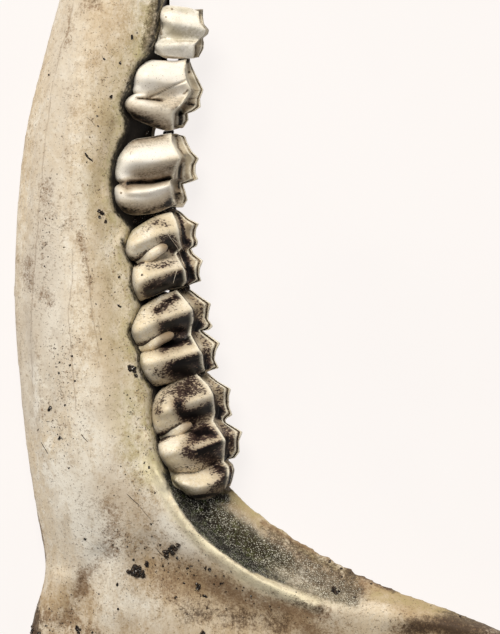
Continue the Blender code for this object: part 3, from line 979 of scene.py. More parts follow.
@dataclass
class Jawbone:
    """The bone: body, branch, condyle and coronoid, with its sockets and ridges, stained, with
    painted shade by the teeth and a painted ridge highlight.
    """

    finish: BoneFinish = BoneFinish()
    cuts: tuple[Cut, ...] = BONE_CUTS
    girths: tuple[Girth, ...] = BONE_GIRTHS
    neck: tuple[NeckOval, ...] = NECK_OVALS
    cuts_between: int = 7
    ring_points: int = 120
    condyle_centre: Triple = (45.8, -85.4, 10.4)
    condyle_radii: Triple = (4.2, 5.4, 10.7)
    condyle_lean: float = -28.0
    skin: float = 0.62
    finer_band: Pair = (-26.0, 34.0)
    finer_rows: Pair = (-14.0, 500.0)
    finer_ridge: Pair = (-34.0, 75.0)
    shaped_rows: tuple[float, ...] = (-30.0, -10.0, 484.0, 500.0)
    painted_rows: tuple[float, ...] = (-40.0, -10.0, 474.0, 490.0)
    socket_depth: float = 2.6
    lip_height: float = 0.12
    ridge_height: float = 0.8
    trough_depth: float = 0.9
    edge: Marks = TOOTHED_EDGE
    ridge: Marks = OBLIQUE_RIDGE

    def build(self) -> Piece:
        """Models the bone and keeps its layers of paint.

        Returns:
            The dressed bone.
        """
        sweep = self.swept_body()
        neck = self.joint_neck()
        condyle = self.condyle()
        bone = joined("jawbone_weathered", [sweep, neck, condyle])
        finish_with(bone, "REMESH", mode="VOXEL", voxel_size=self.skin * MM,
                    use_smooth_shade=True)
        finish_with(bone, "SMOOTH", factor=0.5, iterations=5)
        for foramen in FORAMINA:
            hollow = self.ball(foramen.centre, foramen.radii, foramen.turn)
            finish_with(bone, "BOOLEAN", operation="DIFFERENCE", object=hollow, solver="EXACT")
            bpy.data.objects.remove(hollow)
        finish_with(bone, "SMOOTH", factor=0.5, iterations=1)
        self.refine_toothed_edge(bone)
        self.sculpt(bone)
        self.paint(bone)
        dress(bone, self.finish.material(), Slot.BONE, ("jawbone",))
        return bone

    def swept_body(self) -> Piece:
        """The body and branch, swept through the cuts.

        Returns:
            The body.
        """
        places = np.arange(len(self.cuts))
        at = np.linspace(0, len(self.cuts) - 1, self.cuts_between * (len(self.cuts) - 1) + 1)
        lines = np.array([[*cut.inner, *cut.outer, cut.drop, cut.trough] for cut in self.cuts])
        girths = np.array([[g.crest_z, g.crest, g.middle_z, g.middle, g.rim_z, g.rim]
                           for g in self.girths])
        knots = [girth.cut for girth in self.girths]
        values = np.hstack([smooth_curve(places, lines, at), smooth_curve(knots, girths, at)])
        return lofted("jaw_body", np.array([self.section(row) for row in values]))

    def section(self, row: Array) -> Array:
        """One ring of points across the bone.

        Args:
            row: the two plan points, drop, trough and the three heights and thicknesses.

        Returns:
            The ring's points.
        """
        inner, outer = row[0:2], row[2:4]
        drop, trough, crest_z, crest, middle_z, middle, rim_z, rim = row[4:]
        depth = np.linalg.norm(outer - inner)
        along = (outer - inner) / depth
        body = depth - drop
        edge = min(rim * 0.3, depth * 0.2)
        shelf = 0.13 * max(0.0, 1.0 - trough)
        corners = np.array([
            (0.0, crest_z - crest * 0.4),
            (drop * 0.5 + trough, crest_z + crest * (0.05 + shelf)),
            (drop, crest_z + crest * 0.44),
            (drop + min(1.6, body * 0.1), crest_z + crest * 0.5),
            (drop + body * 0.22, 0.4 * crest_z + 0.6 * middle_z + 0.2 * crest + 0.3 * middle),
            (drop + body * 0.5, middle_z + middle * 0.5),
            (drop + body * 0.78, 0.5 * (middle_z + rim_z) + 0.24 * (middle + rim)),
            (depth - edge, rim_z + rim * 0.44),
            (depth, rim_z),
            (depth - edge, rim_z - rim * 0.44),
            (depth * 0.78, 0.5 * (middle_z + rim_z) - 0.24 * (middle + rim)),
            (depth * 0.5, middle_z - middle * 0.5),
            (depth * 0.22, 0.4 * crest_z + 0.6 * middle_z - 0.2 * crest - 0.3 * middle),
            (min(1.4, depth * 0.1), crest_z - crest * 0.5),
        ])
        around = np.vstack([corners[-2:], corners, corners[:3]])
        at = np.linspace(0, len(corners), self.ring_points, endpoint=False)
        flat = smooth_curve(np.arange(-2, len(corners) + 3), around, at)
        plan = inner + np.outer(flat[:, 0], along) - PLAN_CENTRE
        return np.column_stack([plan, np.maximum(flat[:, 1], 0.0)])

    def joint_neck(self) -> Piece:
        """The neck that rises out of the branch to the condyle.

        Returns:
            The neck.
        """
        start, end = np.array(self.neck[0].centre), np.array(self.neck[-1].centre)
        along = (end - start) / np.linalg.norm(end - start)
        across = np.array([-along[1], along[0]])
        turns = np.linspace(0, 2 * math.pi, 64, endpoint=False)
        sizes = np.array([[*oval.centre, oval.z, oval.width, oval.thickness]
                          for oval in self.neck])
        rings = []
        for x, y, z, width, thickness in smooth_curve(np.arange(len(sizes)), sizes,
                                                      np.linspace(0, len(sizes) - 1, 50)):
            plan = (x, y) + np.outer(np.cos(turns) * width / 2, across) - PLAN_CENTRE
            rings.append(np.column_stack([plan, z + np.sin(turns) * thickness / 2]))
        return lofted("joint_neck", np.array(rings))

    def ball(self, centre: Triple, radii: Triple, turn: float) -> Piece:
        """A sphere, stretched, turned and set at its place.

        Args:
            centre: where, in plan millimetres and height.
            radii: its three radii in millimetres.
            turn: how far it is turned in plan, in degrees.

        Returns:
            The ball.
        """
        place = np.array(centre) - (*PLAN_CENTRE, 0.0)
        bpy.ops.object.select_all(action="DESELECT")
        bpy.ops.mesh.primitive_uv_sphere_add(segments=64, ring_count=40, radius=MM,
                                             location=place * MM)
        ball = bpy.context.active_object
        ball.scale = radii
        ball.rotation_euler = (0.0, 0.0, math.radians(turn))
        settle(ball)
        return ball

    def condyle(self) -> Piece:
        """The roll of the jaw joint.

        Returns:
            The roll.
        """
        roll = self.ball(self.condyle_centre, self.condyle_radii, self.condyle_lean)
        points = points_of(roll)
        points[:, 2] = np.maximum(points[:, 2], 0.0)
        move_points(roll, points)
        return roll

    def refine_toothed_edge(self, bone: Piece) -> None:
        """Cuts the faces along the teeth finer, so that the sockets' rims can be shaped.

        Args:
            bone: the bone.
        """
        marks = seen_from_above(points_of(bone))
        side, _ = nearest_on(marks, self.edge)
        up = facing_up(bone)
        ridge, share = nearest_on(marks, self.ridge)
        chosen = within(side, self.finer_band) & within(marks[:, 1], self.finer_rows) & (up > -0.3)
        chosen |= within(ridge, self.finer_ridge) & within(share, (0.02, 0.98))
        only(bone)
        bpy.ops.object.mode_set(mode="EDIT")
        bpy.ops.mesh.select_all(action="DESELECT")
        bpy.ops.mesh.select_mode(type="VERT")
        bpy.ops.object.mode_set(mode="OBJECT")
        bone.data.vertices.foreach_set("select", chosen)
        bpy.ops.object.mode_set(mode="EDIT")
        bpy.ops.mesh.subdivide(number_cuts=1, smoothness=0.0)
        bpy.ops.mesh.vertices_smooth(factor=0.5, repeat=12)
        bpy.ops.object.mode_set(mode="OBJECT")

    def sculpt(self, bone: Piece) -> None:
        """Moves the bone's points into its sockets' rims, ridges, pits and scars.

        Args:
            bone: the bone.
        """
        points = points_of(bone)
        marks = seen_from_above(points)
        up = ease(0.0, 0.4, facing_up(bone))
        side, _ = nearest_on(marks, self.edge)
        toothed = swell(marks[:, 1], *self.shaped_rows)
        recess = swell(side, -1.0, 7.0, 60, 75) * toothed
        lip = band(side, -4, 4) * toothed
        points[:, 2] += up * (lip * self.lip_height - recess * self.socket_depth)
        points[:, 2] += up * pressed(marks, BONE_SHAPES)
        ridge, share = nearest_on(marks, self.ridge)
        sharp = self.ridge_height * np.exp(-np.abs(ridge + 2) / 4)
        sharp -= self.trough_depth * ease(-1, 4, ridge) * (1 - ease(10, 26, ridge))
        points[:, 2] += up * swell(share, 0.0, 0.06, 0.7, 1.0) * sharp
        points[:, 2] = np.maximum(points[:, 2], 0.0)
        box = np.array(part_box("jawbone")) / MM
        move_points(bone, np.clip(points, box[0], box[1]))

    def paint(self, bone: Piece) -> None:
        """Keeps the layers that the finish reads.

        Args:
            bone: the bone.
        """
        points = points_of(bone)
        marks = seen_from_above(points)
        up = ease(-0.6, -0.1, facing_up(bone))
        side, _ = nearest_on(marks, self.edge)
        ridge, share = nearest_on(marks, self.ridge)
        # A painted highlight along the top of the oblique ridge, which brown and umber keep clear
        # of.
        crest = band(ridge, -6.5, 7.0) * (1 - ease(0.8, 1.0, share))
        crest *= ease(440, 480, marks[:, 1])
        toothed = swell(marks[:, 1], *self.painted_rows)
        # An olive tint beside the teeth, partly painted shade where the bone slopes down to them.
        beside = (ease(-42, -8, side) * 0.35 + ease(-10, -2, side) * 0.5) * toothed
        # Painted shade, with some grime, in the sockets' recess beside the teeth; the margins add
        # painted shade along the teeth's left edges.
        socket = swell(side, -1.5, 6.0, 50, 70) * toothed
        trough = swell(ridge, 0.0, 2.5, 26, 48) * (1 - ease(0.55, 0.95, share))
        trough *= ease(462, 478, marks[:, 1])
        layers = {
            "crest": crest * up,
            "olive": np.clip(beside + painted(marks, OLIVE), 0, 1) * up,
            "grime": np.maximum(socket, painted(marks, MARGIN_SHADE)) * up,
            "rim": band(side, -1.5, 2.0) * toothed * up,
            "moss": np.maximum(trough * 0.8, painted(marks, MOSS)) * up,
        }
        for name, paint in BONE_PAINT.items():
            bare = 1 - 0.85 * crest * (name in ("brown", "umber"))
            layers[name] = painted(marks, paint) * up * bare
        # Umber along the toothed edge, partly painted shade.
        layers["umber"] = np.maximum(layers["umber"], band(side, -2, 8) * toothed * up * 0.5)
        layers["specks"] = np.maximum(layers["specks"], band(side, -3, 5) * toothed * up)
        # Painted shade inside the foramina's hollows.
        for hole in FORAMINA:
            dark = 0.9 * (1 - ease(0.98, 1.16, hole.radii_away(points)))
            layers["grime"] = np.maximum(layers["grime"], dark)
        for name, line in CRACKS.items():
            x, y = np.array(line, float).T
            layers[name] = (marks[:, 0] - np.interp(marks[:, 1], y, x)) / MARKS_PER_MM
            ends = swell(marks[:, 1], y[0] - 4, y[0] + 8, y[-1] - 10, y[-1])
            layers[name + "_width"] = ends * up
        keep_layers(bone, **layers)


@dataclass(frozen=True)
class EnamelFinish:
    """Cream enamel with a soft gloss, stained brown and black in its hollows, where painted shade
    darkens it too.
    """

    cream: tuple = ink(248, 243, 234)
    warm: tuple = ink(232, 219, 198)
    rim: tuple = ink(232, 224, 204)
    olive: tuple = ink(156, 146, 106)
    aged: tuple = ink(222, 206, 174)
    brown: tuple = ink(122, 98, 72)
    mauve: tuple = ink(204, 190, 166)
    plum: tuple = ink(52, 36, 36)
    black: tuple = ink(8, 6, 7)

    def material(self) -> Material:
        """The finish as a material that reads a tooth's painted layers.

        Returns:
            The material.
        """
        sheet = Sheet("stained_enamel")
        noise, layer, rise = sheet.noise, sheet.layer, sheet.rise
        ragged, coated = sheet.ragged, sheet.coated
        clouds = noise(4.5, 4, 0.55)
        grain = noise(0.5, 4, 0.65)
        fine = noise(0.22, 3, 0.7)
        lines = noise(0.8, 3, 0.5, (0.25, 1, 0.5), 20)
        drift = noise(2.2, 5, 0.65, (0.7, 1.3, 1), 25)
        spatter = noise(0.34, 3, 0.6, (0.8, 1.15, 1), 25)
        aged = layer("aged") * (0.35 + rise(clouds + grain, 0.75, 1.2) * 0.6)
        olive = layer("olive") * rise(clouds + grain, 0.7, 1.15)
        specks = rise(fine + layer("specks") * 0.16, 0.68, 0.74)
        # Stains and painted shade share one layer: the shade lies on the lobes' back slopes, in the
        # hollow crown and round the column.
        stain = layer("stain") + (drift - 0.5) * layer("stain") * 1.6
        # The wash spreads the same stains and painted shade as a soft halo.
        wash = layer("wash")
        tinged = rise(wash + (clouds - 0.5) * 0.5, 0.05, 0.5)
        brown_soak_and_shade = rise(wash + (drift - 0.5) * 0.4 + (spatter - 0.5) * 0.25, 0.22, 0.95)
        speckled = layer("aged") * 0.75 + 0.25
        dots = rise(spatter + stain * 0.36 + wash * 0.08, 0.68, 0.76) * speckled
        deep = rise(stain + (spatter - 0.5) * 0.7, 0.64, 0.94)
        colour = coated(
            self.cream,
            (self.warm, rise(clouds, 0.45, 0.75) * 0.6),
            (self.warm, rise(lines, 0.5, 0.75) * 0.35),
            (self.aged, aged),
            (self.olive, olive),
            (self.brown, specks * 0.8),
            (self.mauve, tinged * 0.7),
            (self.brown, brown_soak_and_shade * 0.85),
            (self.plum, dots * 0.93),
            (self.black, deep * 0.97),
            # Painted shade, black, at the feet of the teeth.
            (self.black, ragged(layer("grime"), grain, 0.4)),
            (self.rim, layer("rim") * rise(grain, 0.3, 0.5)),
        )
        roughness = 0.26 + grain * 0.16
        height = grain * 0.06 + lines * 0.1 + dots * 0.1
        return sheet.surface(colour, roughness, height, 0.3, Specular_IOR_Level=0.2)


@dataclass(frozen=True)
class Lobe:
    """One lobe of a cheek tooth: its foot, its outer edge and its inner edge, read downwards.

    `ridge` is how far the lobe's fullest line lies towards its back end, from -1 to 1.
    """

    foot: Marks
    edge: Marks
    inner: Marks
    ridge: float = 0.15


@dataclass(frozen=True)
class CheekShape:
    """A cheek tooth's sizes, with its outline as seen from above.

    `middle` is the height of its middle, and `half` holds its half thicknesses at neck, belly and
    rim. `valley` is how full its valleys are at the foot and higher up, and `crease` is how
    sharply they are cut.
    """

    name: str
    node: str
    middle: float
    half: Triple
    front: Marks
    back: Marks
    lobes: tuple[Lobe, ...]
    shapes: tuple[Stroke, ...] = ()
    # Strokes of stain and of painted shade, the shade mostly on the lobes' back slopes.
    stains: tuple[Stroke, ...] = ()
    clean: tuple[Stroke, ...] = ()
    olive: tuple[Stroke, ...] = ()
    column: Marks = ()
    valley: Pair = (0.36, 0.12)
    # How strongly painted shade darkens the back slopes and the hollow crown.
    inner_stain: float = 0.9
    crease: float = 1.0
    rims: tuple[Stroke, ...] = ()


# A row of strokes is a reach, a power and then the marks of its line, here and further on.
CHEEK_TEETH = (
    CheekShape(
        "premolar_two", "tooth_p2", 9.3, (2.2, 2.9, 2.1),
        ((157, 12), (160, 8), (168, 5), (179, 6), (191, 8), (198, 11)),
        ((156, 53), (164, 58), (175, 59), (185, 58.5), (193, 58.5)),
        (Lobe(((157, 12), (159, 19), (163, 27), (160, 33), (156, 40)),
              ((198, 11), (198, 17), (200, 24), (205, 30), (203, 35), (199, 39)),
              ((203, 9), (203, 17), (204, 24), (209, 30), (208, 34), (203, 38))),
         Lobe(((156, 40), (153.5, 46), (156, 53)),
              ((199, 39), (194.5, 44), (194, 50), (193, 58.5)),
              ((203, 38), (204, 43), (203.5, 49), (199, 57)), -0.3)),
        shapes=strokes(
            (12, 0.35, (168, 23), (188, 27), (206, 31)), (6, -0.3, (161, 27), (167, 27)),
            (7, 0.3, (165, 46), (180, 47)), (6, -0.35, (183, 13), (197, 17)),
            (2.2, -0.5, (195.5, 46), (194.5, 57)),
        ),
        stains=strokes(
            (2.0, 1.0, (172, 9)), (1.5, 0.9, (166, 17)), (2.4, 0.7, (160, 56.5), (185, 59)),
            (1.6, 0.6, (195.5, 46), (194.5, 57)), (1.6, 0.45, (176, 41), (197, 41.5)),
            (3, 0.6, (158, 20), (161, 34)),
        ),
        olive=strokes((26, 0.55, (158, 34), (200, 40)), (6, 0.5, (165, 8), (195, 11))),
        inner_stain=0.2,
        valley=(0.5, 0.45),
        crease=0.1,
    ),
    CheekShape(
        "premolar_three", "tooth_p3", 9.2, (2.8, 3.7, 2.8),
        ((135, 72), (139, 64), (149, 60), (162, 60), (173, 61), (186, 59)),
        ((127.5, 111), (134, 117.5), (146, 123), (157, 128), (167, 131), (173, 130)),
        (Lobe(((135, 72), (132.5, 80), (132.5, 87), (128, 95)),
              ((186, 59), (184.3, 71), (185.7, 80), (190.5, 89), (186, 97)),
              ((189, 60), (193, 68.6), (198.6, 80), (203.6, 90), (200, 99))),
         Lobe(((128, 95), (123.2, 101), (123.6, 107), (127.5, 113)),
              ((186, 97), (180, 106), (174, 110.5), (172, 115), (173, 130)),
              ((200, 99), (200.7, 107), (194, 111.5), (188, 113.5), (188.5, 120), (184, 127)),
              -0.3)),
        shapes=strokes(
            (20, 0.6, (148, 76), (164, 75)),
            (2.2, -0.35, (150, 97), (160, 92.5), (171, 86.5), (185, 81)),
            (9, -0.8, (152, 98), (166, 95), (182, 91)),
            (2.8, -0.9, (137, 98.5), (147, 99), (162, 100.5)),
            (15, 0.8, (129, 108), (148, 112), (168, 116)), (8, 0.3, (132, 97), (137, 92)),
            (5, -1.8, (180.5, 112), (181, 125)),
        ),
        stains=strokes(
            (2.1, 0.75, (138, 98.5), (147, 99), (162, 101)), (4, 0.3, (148, 97), (163, 98)),
            (1.2, 0.6, (150, 97), (160, 92.5), (171, 86.5), (185, 81)),
            (8, 0.28, (150, 95), (172, 94)), (6.0, 1.0, (180.5, 112), (181, 126)),
            (10, 0.85, (128, 115), (146, 123), (168, 132)), (8, 0.45, (162, 107), (178, 104)),
            (8, 0.4, (133, 111), (150, 117), (170, 124)), (2.4, 1.0, (189, 72)),
            (1.6, 0.9, (184, 94), (188, 90)), (1.4, 0.8, (187, 97), (191, 92)),
            (1.0, 0.7, (194, 90.3), (203, 90.6)), (1.6, 0.8, (188, 99), (198, 98)),
            (6, 0.75, (187, 103), (196, 106)), (1.6, 0.8, (186, 60), (184.5, 70)),
            (3.0, 0.25, (138, 82)), (1.4, 0.8, (184, 103), (176, 108), (175.5, 120)),
            (1.2, 0.8, (186, 75), (189.5, 84), (192, 91)),
        ),
        rims=strokes(
            (1.5, 1.0, (186, 66), (187, 76), (190.5, 85), (190, 93), (186, 100)),
            (1.6, 1.0, (186, 100), (179, 106), (174, 113), (172.5, 129)),
            (1.4, 0.9, (177, 124), (178, 112), (181, 109), (184, 114), (186, 124)),
        ),
        olive=strokes((9, 0.8, (193, 72), (200, 90))),
        valley=(0.80, 0.62),
        crease=0.15,
        inner_stain=0.45,
    ),
    CheekShape(
        "premolar_four", "tooth_p4", 9.1, (3.4, 4.5, 3.4),
        ((121, 150), (127, 144), (134.5, 139), (151.7, 136.6), (163, 134), (171, 133)),
        ((117, 208), (123, 213), (136, 215.5), (154, 213.6), (168, 208.5), (175, 204.5)),
        (Lobe(((121, 150), (116, 159), (113, 171), (112, 183)),
              ((171, 133), (171, 141), (175.7, 150), (180, 158.6), (176, 166), (173, 178)),
              ((176, 134), (185, 136), (187.5, 143), (192, 151.5), (199, 158.6), (195.5, 165),
               (195.5, 173), (198.5, 180))),
         Lobe(((112, 183), (112.5, 192), (114, 201), (117, 208)),
              ((173, 178), (169.5, 181), (171, 189), (175, 204.5)),
              ((183, 184), (186, 193), (187.5, 200), (183, 207.5)), -0.45)),
        shapes=strokes(
            (16, 0.6, (128, 160), (150, 158), (176, 157)),
            (3.4, -1.3, (131, 182.5), (152, 182.5), (170, 179)),
            (6, -0.3, (135, 175), (155, 173), (172, 170)),
            (7, 0.5, (130, 191), (150, 191), (168, 186)), (3.5, -0.4, (171, 184), (174, 198)),
        ),
        stains=strokes(
            (4.0, 0.75, (121, 184), (128, 188)), (3.4, 0.8, (132, 140), (150, 137), (163, 135)),
            (4.4, 1.0, (128, 183), (152, 182), (170, 178)),
            (9, 0.65, (140, 177), (155, 174), (173, 167)),
            (9, 0.8, (118, 210), (150, 212), (166, 206), (176, 197)), (3.6, 1.0, (187, 203.5)),
            (2.0, 1.0, (179.5, 193)), (1.9, 0.9, (121, 193)), (1.5, 0.6, (133, 161.5)),
            (8, 0.42, (127, 147), (146, 142.5), (168, 139)), (1.5, 0.9, (175, 136), (184, 134.5)),
            (2.0, 0.8, (177, 137), (178, 147), (183, 154)), (1.6, 0.8, (186.5, 144)),
            (1.6, 0.8, (191, 151)), (3.4, 1.0, (181, 160), (179, 172), (179, 188)),
            (8, 0.5, (184, 168), (188, 186)), (2.2, 0.75, (192, 163), (191.5, 176)),
            (4, 0.4, (186, 176), (190, 181)),
        ),
        rims=strokes(
            (1.4, 1.0, (174, 137), (175.5, 148), (181, 157), (177.5, 167), (176.5, 180)),
            (1.6, 0.8, (183.5, 163), (184, 182)),
        ),
        olive=strokes((6, 0.5, (120, 152), (113, 175)), (9, 0.6, (182, 140), (190, 170))),
        valley=(0.97, 0.22),
        crease=0.5,
        inner_stain=0.40,
    ),
    CheekShape(
        "molar_one", "tooth_m1", 9.0, (3.9, 5.0, 3.0),
        ((121, 246), (126.7, 235.4), (131, 231), (139.4, 225), (148.6, 219.4), (161, 214),
         (171, 212)),
        ((134, 296), (139, 302), (147, 298.6), (159, 294), (172.7, 287.5), (183, 286)),
        (Lobe(((121, 246), (125, 255), (131, 263)),
              ((171, 212), (175.7, 220.7), (178, 229.3), (179, 239.3), (181.4, 249)),
              ((175, 209), (181, 212), (189, 219), (199, 223.6), (196, 229.3), (195.5, 236.4),
               (198, 241), (197, 246), (191, 249))),
         Lobe(((131, 263), (130.5, 275), (130, 285), (134, 296)),
              ((175, 253), (180.7, 263.6), (185, 271), (186, 280.7), (183, 286)),
              ((192, 250), (194, 254), (203, 260.7), (200, 268), (199.3, 275), (201.5, 281),
               (192, 284), (187, 287)), 0.0)),
        shapes=strokes(
            (9, 0.45, (133, 243), (148, 236), (172, 228)),
            (8, 0.3, (140, 282), (160, 274), (180, 266)),
            (3.5, -0.5, (134, 265), (150, 262), (172, 255)),
        ),
        stains=strokes(
            (14, 0.2, (150, 230), (172, 238)), (6, 0.45, (157, 221), (167, 226)),
            (7, 1.0, (168, 245), (176, 250)), (7, 0.45, (163, 238), (172, 240)),
            (4, 0.6, (132, 258), (136, 264)), (6, 0.55, (150, 266), (167, 266)),
            (6, 0.3, (168, 262), (178, 262)), (8, 1.0, (148, 292), (165, 285), (184, 277)),
            (8, 1.0, (160, 290), (184, 283)), (1.9, 1.0, (142, 275)),
            (9, 0.3, (150, 282), (176, 273)), (7, 0.18, (132, 240), (150, 224)),
            (3.4, 0.9, (178, 213), (182, 224), (184, 240)), (6, 0.9, (186, 242), (196, 246)),
            (5, 1.0, (183, 252), (187, 264), (190, 274)), (8, 1.0, (190, 274), (198, 282)),
        ),
        clean=strokes(
            (5, 0.8, (140, 279), (160, 273), (182, 265)),
            (6, 0.6, (140, 238), (160, 231), (176, 228)),
        ),
        olive=strokes(
            (6, 0.8, (122, 246), (130, 232), (150, 219)), (7, 0.5, (132, 285), (145, 298)),
        ),
        column=((136, 262), (148, 255), (159, 249.5), (167.5, 246)),
        inner_stain=0.5,
    ),
    CheekShape(
        "molar_two", "tooth_m2", 9.0, (4.1, 5.3, 3.1),
        ((129, 325), (133, 316), (139, 308), (154, 298.6), (163.5, 294), (176, 290)),
        ((141, 374), (147, 382), (154, 386.5), (170, 383), (187, 377), (201, 371)),
        (Lobe(((129, 325), (127.3, 333), (131, 341), (137, 350)),
              ((176, 290), (186, 301), (192, 309.3), (193, 319), (191, 328)),
              ((186, 287), (193, 291), (200, 296.4), (211, 303.6), (209.3, 310), (208, 319.3),
               (213, 326), (209, 330), (202, 331))),
         Lobe(((137, 350), (138, 358), (137.6, 365), (141, 374)),
              ((190, 334), (198.6, 349.3), (202, 354), (203, 365), (205, 371)),
              ((203, 331), (208.6, 335), (220, 343), (216, 351), (214.5, 359.3), (219, 368),
               (212, 370), (207, 372)), -0.1)),
        shapes=strokes(
            (10, 0.5, (138, 330), (158, 318), (188, 309)),
            (9, 0.45, (143, 362), (165, 356), (198, 351)),
            (4, -0.5, (140, 351), (160, 349), (186, 340)),
        ),
        stains=strokes(
            (5.5, 0.75, (157, 310), (168, 302), (179, 295)), (9, 0.22, (148, 320), (170, 310)),
            (8, 0.15, (172, 305), (186, 304)), (9, 1.0, (168, 325), (192, 318)),
            (6, 1.0, (164, 332), (191, 328)), (6, 0.3, (162, 326), (176, 316)),
            (7, 1.0, (164, 346), (176, 342), (190, 338)),
            (9, 1.0, (172, 366), (186, 362), (202, 358)), (8, 1.0, (178, 374), (203, 368)),
            (7, 0.5, (156, 372), (170, 376)), (7, 0.25, (160, 361), (176, 355)),
            (7, 0.25, (133, 318), (150, 303)), (8, 0.4, (194, 294), (202, 310), (206, 328)),
            (8, 0.45, (204, 336), (210, 352), (213, 368)), (3.0, 0.4, (150, 369)),
            (4, 0.25, (146, 352), (160, 350)),
        ),
        clean=strokes(
            (6, 0.9, (164, 318), (180, 313), (192, 308)),
            (6, 0.85, (150, 364), (172, 357), (199, 348)), (4, 0.7, (187, 297), (194, 307)),
        ),
        olive=strokes(
            (7, 0.6, (128, 330), (140, 305), (156, 297)), (7, 0.5, (138, 352), (142, 372)),
        ),
        column=((136, 350), (149, 344), (161, 338.5), (174, 334)),
    ),
    CheekShape(
        "molar_three", "tooth_m3", 9.0, (4.1, 5.3, 3.1),
        ((150, 409), (151, 402), (160.6, 389.4), (175, 381), (186, 376), (195, 373)),
        ((177, 486), (185, 493.5), (198, 500.5), (212, 498), (222, 492), (227, 487.5)),
        (Lobe(((150, 409), (150.5, 424), (153, 433), (157, 441)),
              ((195, 373), (207.5, 385), (212.5, 393.8), (213.5, 404), (215, 414)),
              ((207, 372), (212.5, 377), (219, 382), (231, 388.8), (229, 396), (229, 406),
               (232.5, 415), (227, 418), (225, 421))),
         Lobe(((157, 441), (155, 447), (158, 458), (168, 471)),
              ((212, 420), (220, 432), (225, 440), (224, 450), (224, 458.8)),
              ((226, 422.5), (236, 428), (242.5, 432), (239, 441), (239.5, 452), (235, 458),
               (228, 459.5))),
         Lobe(((172, 474), (172, 480), (177, 486)),
              ((223, 461), (228, 466), (229, 472.5), (226, 487.5)),
              ((228, 460), (232.5, 464), (234.5, 470), (232.5, 479), (230, 486)))),
        shapes=strokes(
            (10, 0.6, (160, 412), (180, 404), (211, 397)),
            (10, 0.5, (163, 452), (190, 444), (222, 438)),
            (8, 0.4, (185, 482), (205, 474), (222, 469)),
            (4, -0.4, (160, 439), (185, 433), (208, 421)),
        ),
        stains=strokes(
            (8.5, 0.72, (191, 378), (186, 390), (180, 400)), (12, 0.42, (192, 390), (204, 392)),
            (6, 0.85, (178, 406), (183, 415), (190, 420)),
            (9, 1.0, (188, 416), (201, 411), (214, 407)), (4.6, 0.75, (158, 412)),
            (8, 0.5, (158, 404), (166, 394), (176, 386)), (6, 0.4, (200, 381), (207, 390)),
            (9, 1.0, (196, 436), (204, 429), (214, 437)), (10, 0.3, (190, 440), (214, 440)),
            (8, 1.0, (196, 452), (212, 447), (225, 441)),
            (8, 0.75, (186, 452), (204, 456), (224, 456)), (5, 0.3, (212, 474), (222, 469)),
            (6, 0.6, (212, 488), (226, 479)), (8, 0.75, (217, 466), (228, 475), (226, 487)),
            (6, 0.42, (176, 471), (194, 468), (214, 463)), (4.5, 0.9, (190, 498), (218, 494)),
            (9, 0.5, (217, 382), (224, 400), (228, 416)),
            (9, 0.55, (226, 426), (232, 440), (236, 456)), (6, 0.7, (232, 470), (229, 484)),
        ),
        clean=strokes(
            (7, 0.8, (190, 405), (211, 396)), (5, 0.8, (193, 448), (220, 438)),
            (4, 0.6, (204, 383), (212, 394)),
        ),
        olive=strokes(
            (8, 0.9, (172, 476), (182, 490), (197, 497)), (9, 0.9, (212, 375), (225, 388)),
        ),
        column=((156, 440), (168, 433.5), (180, 428), (192, 424)),
    ),
)


@dataclass
class CrownCut:
    """One cut across a cheek tooth: its marks at foot, edge and inner edge, and its place.

    `place` is where it lies in its lobe, from -1 in front to 1, `share` is where it lies in the
    tooth, from 0 to 1, and `end` is how wide the tooth is there, near its two ends.
    """

    shape: CheekShape
    sides: tuple[Array, Array]
    foot: Array
    edge: Array
    inner: Array
    place: float
    ridge: float
    share: float
    end: float

    def wall(self, height: float) -> Array:
        """The mark of the outer wall at a height, bent like the tooth's front and back.

        Args:
            height: from 0 at the foot to 1 at the edge.

        Returns:
            The mark.
        """
        bend = np.zeros(2)
        for line, weight in zip(self.sides, (1 - self.share, self.share)):
            at = height * (len(line) - 1)
            index = min(int(at), len(line) - 2)
            mark = line[index] + (line[index + 1] - line[index]) * (at - index)
            bend += weight * (mark - line[0] * (1 - height) - line[-1] * height)
        return self.foot * (1 - height) + self.edge * height + bend

    def fullness(self, height: float, flat: float = 0.0) -> float:
        """How full the tooth is at a height, from its valleys to its lobes.

        Args:
            height: from 0 at the foot to 1 at the edge.
            flat: how far the valleys are filled, from 0 to 1.

        Returns:
            The share of the tooth's greatest fullness.
        """
        shallow, deep = self.shape.valley
        low = shallow + (deep - shallow) * float(ease(0.05, 0.5, height))
        lean = self.ridge * (0.3 + 0.7 * height) - 0.14 * (1 - height)
        spot = self.place - lean * (1 - self.place**2)
        away = min(abs(spot), 1.0)
        if self.at_tooth_end(spot):
            low = min(low, 0.45)
            lobe = (1 - away ** (2.0 - 0.4 * height)) ** (1 / (2.0 - 0.6 * height))
        else:
            lobe = (1 - away ** (2.0 - 0.7 * height)) ** (1 / (1.75 - 0.8 * height))
            smooth = 0.5 + 0.5 * math.cos(math.pi * away)
            lobe = smooth + (lobe - smooth) * self.shape.crease
        lobe = low + (1 - low) * lobe
        return self.end * (flat + (1 - flat) * lobe)

    def at_tooth_end(self, spot: float) -> bool:
        """Whether that spot of a lobe faces the tooth's front or back, and not a valley.

        Args:
            spot: the place in the lobe, from -1 in front to 1.

        Returns:
            True at an end of the tooth.
        """
        lobes = len(self.shape.lobes)
        in_end_lobe = int(self.share * lobes - 1e-9) in (0, lobes - 1)
        outward = (self.share < 0.5) == (spot < 0)
        return in_end_lobe and outward and not 0.34 < self.share < 0.66


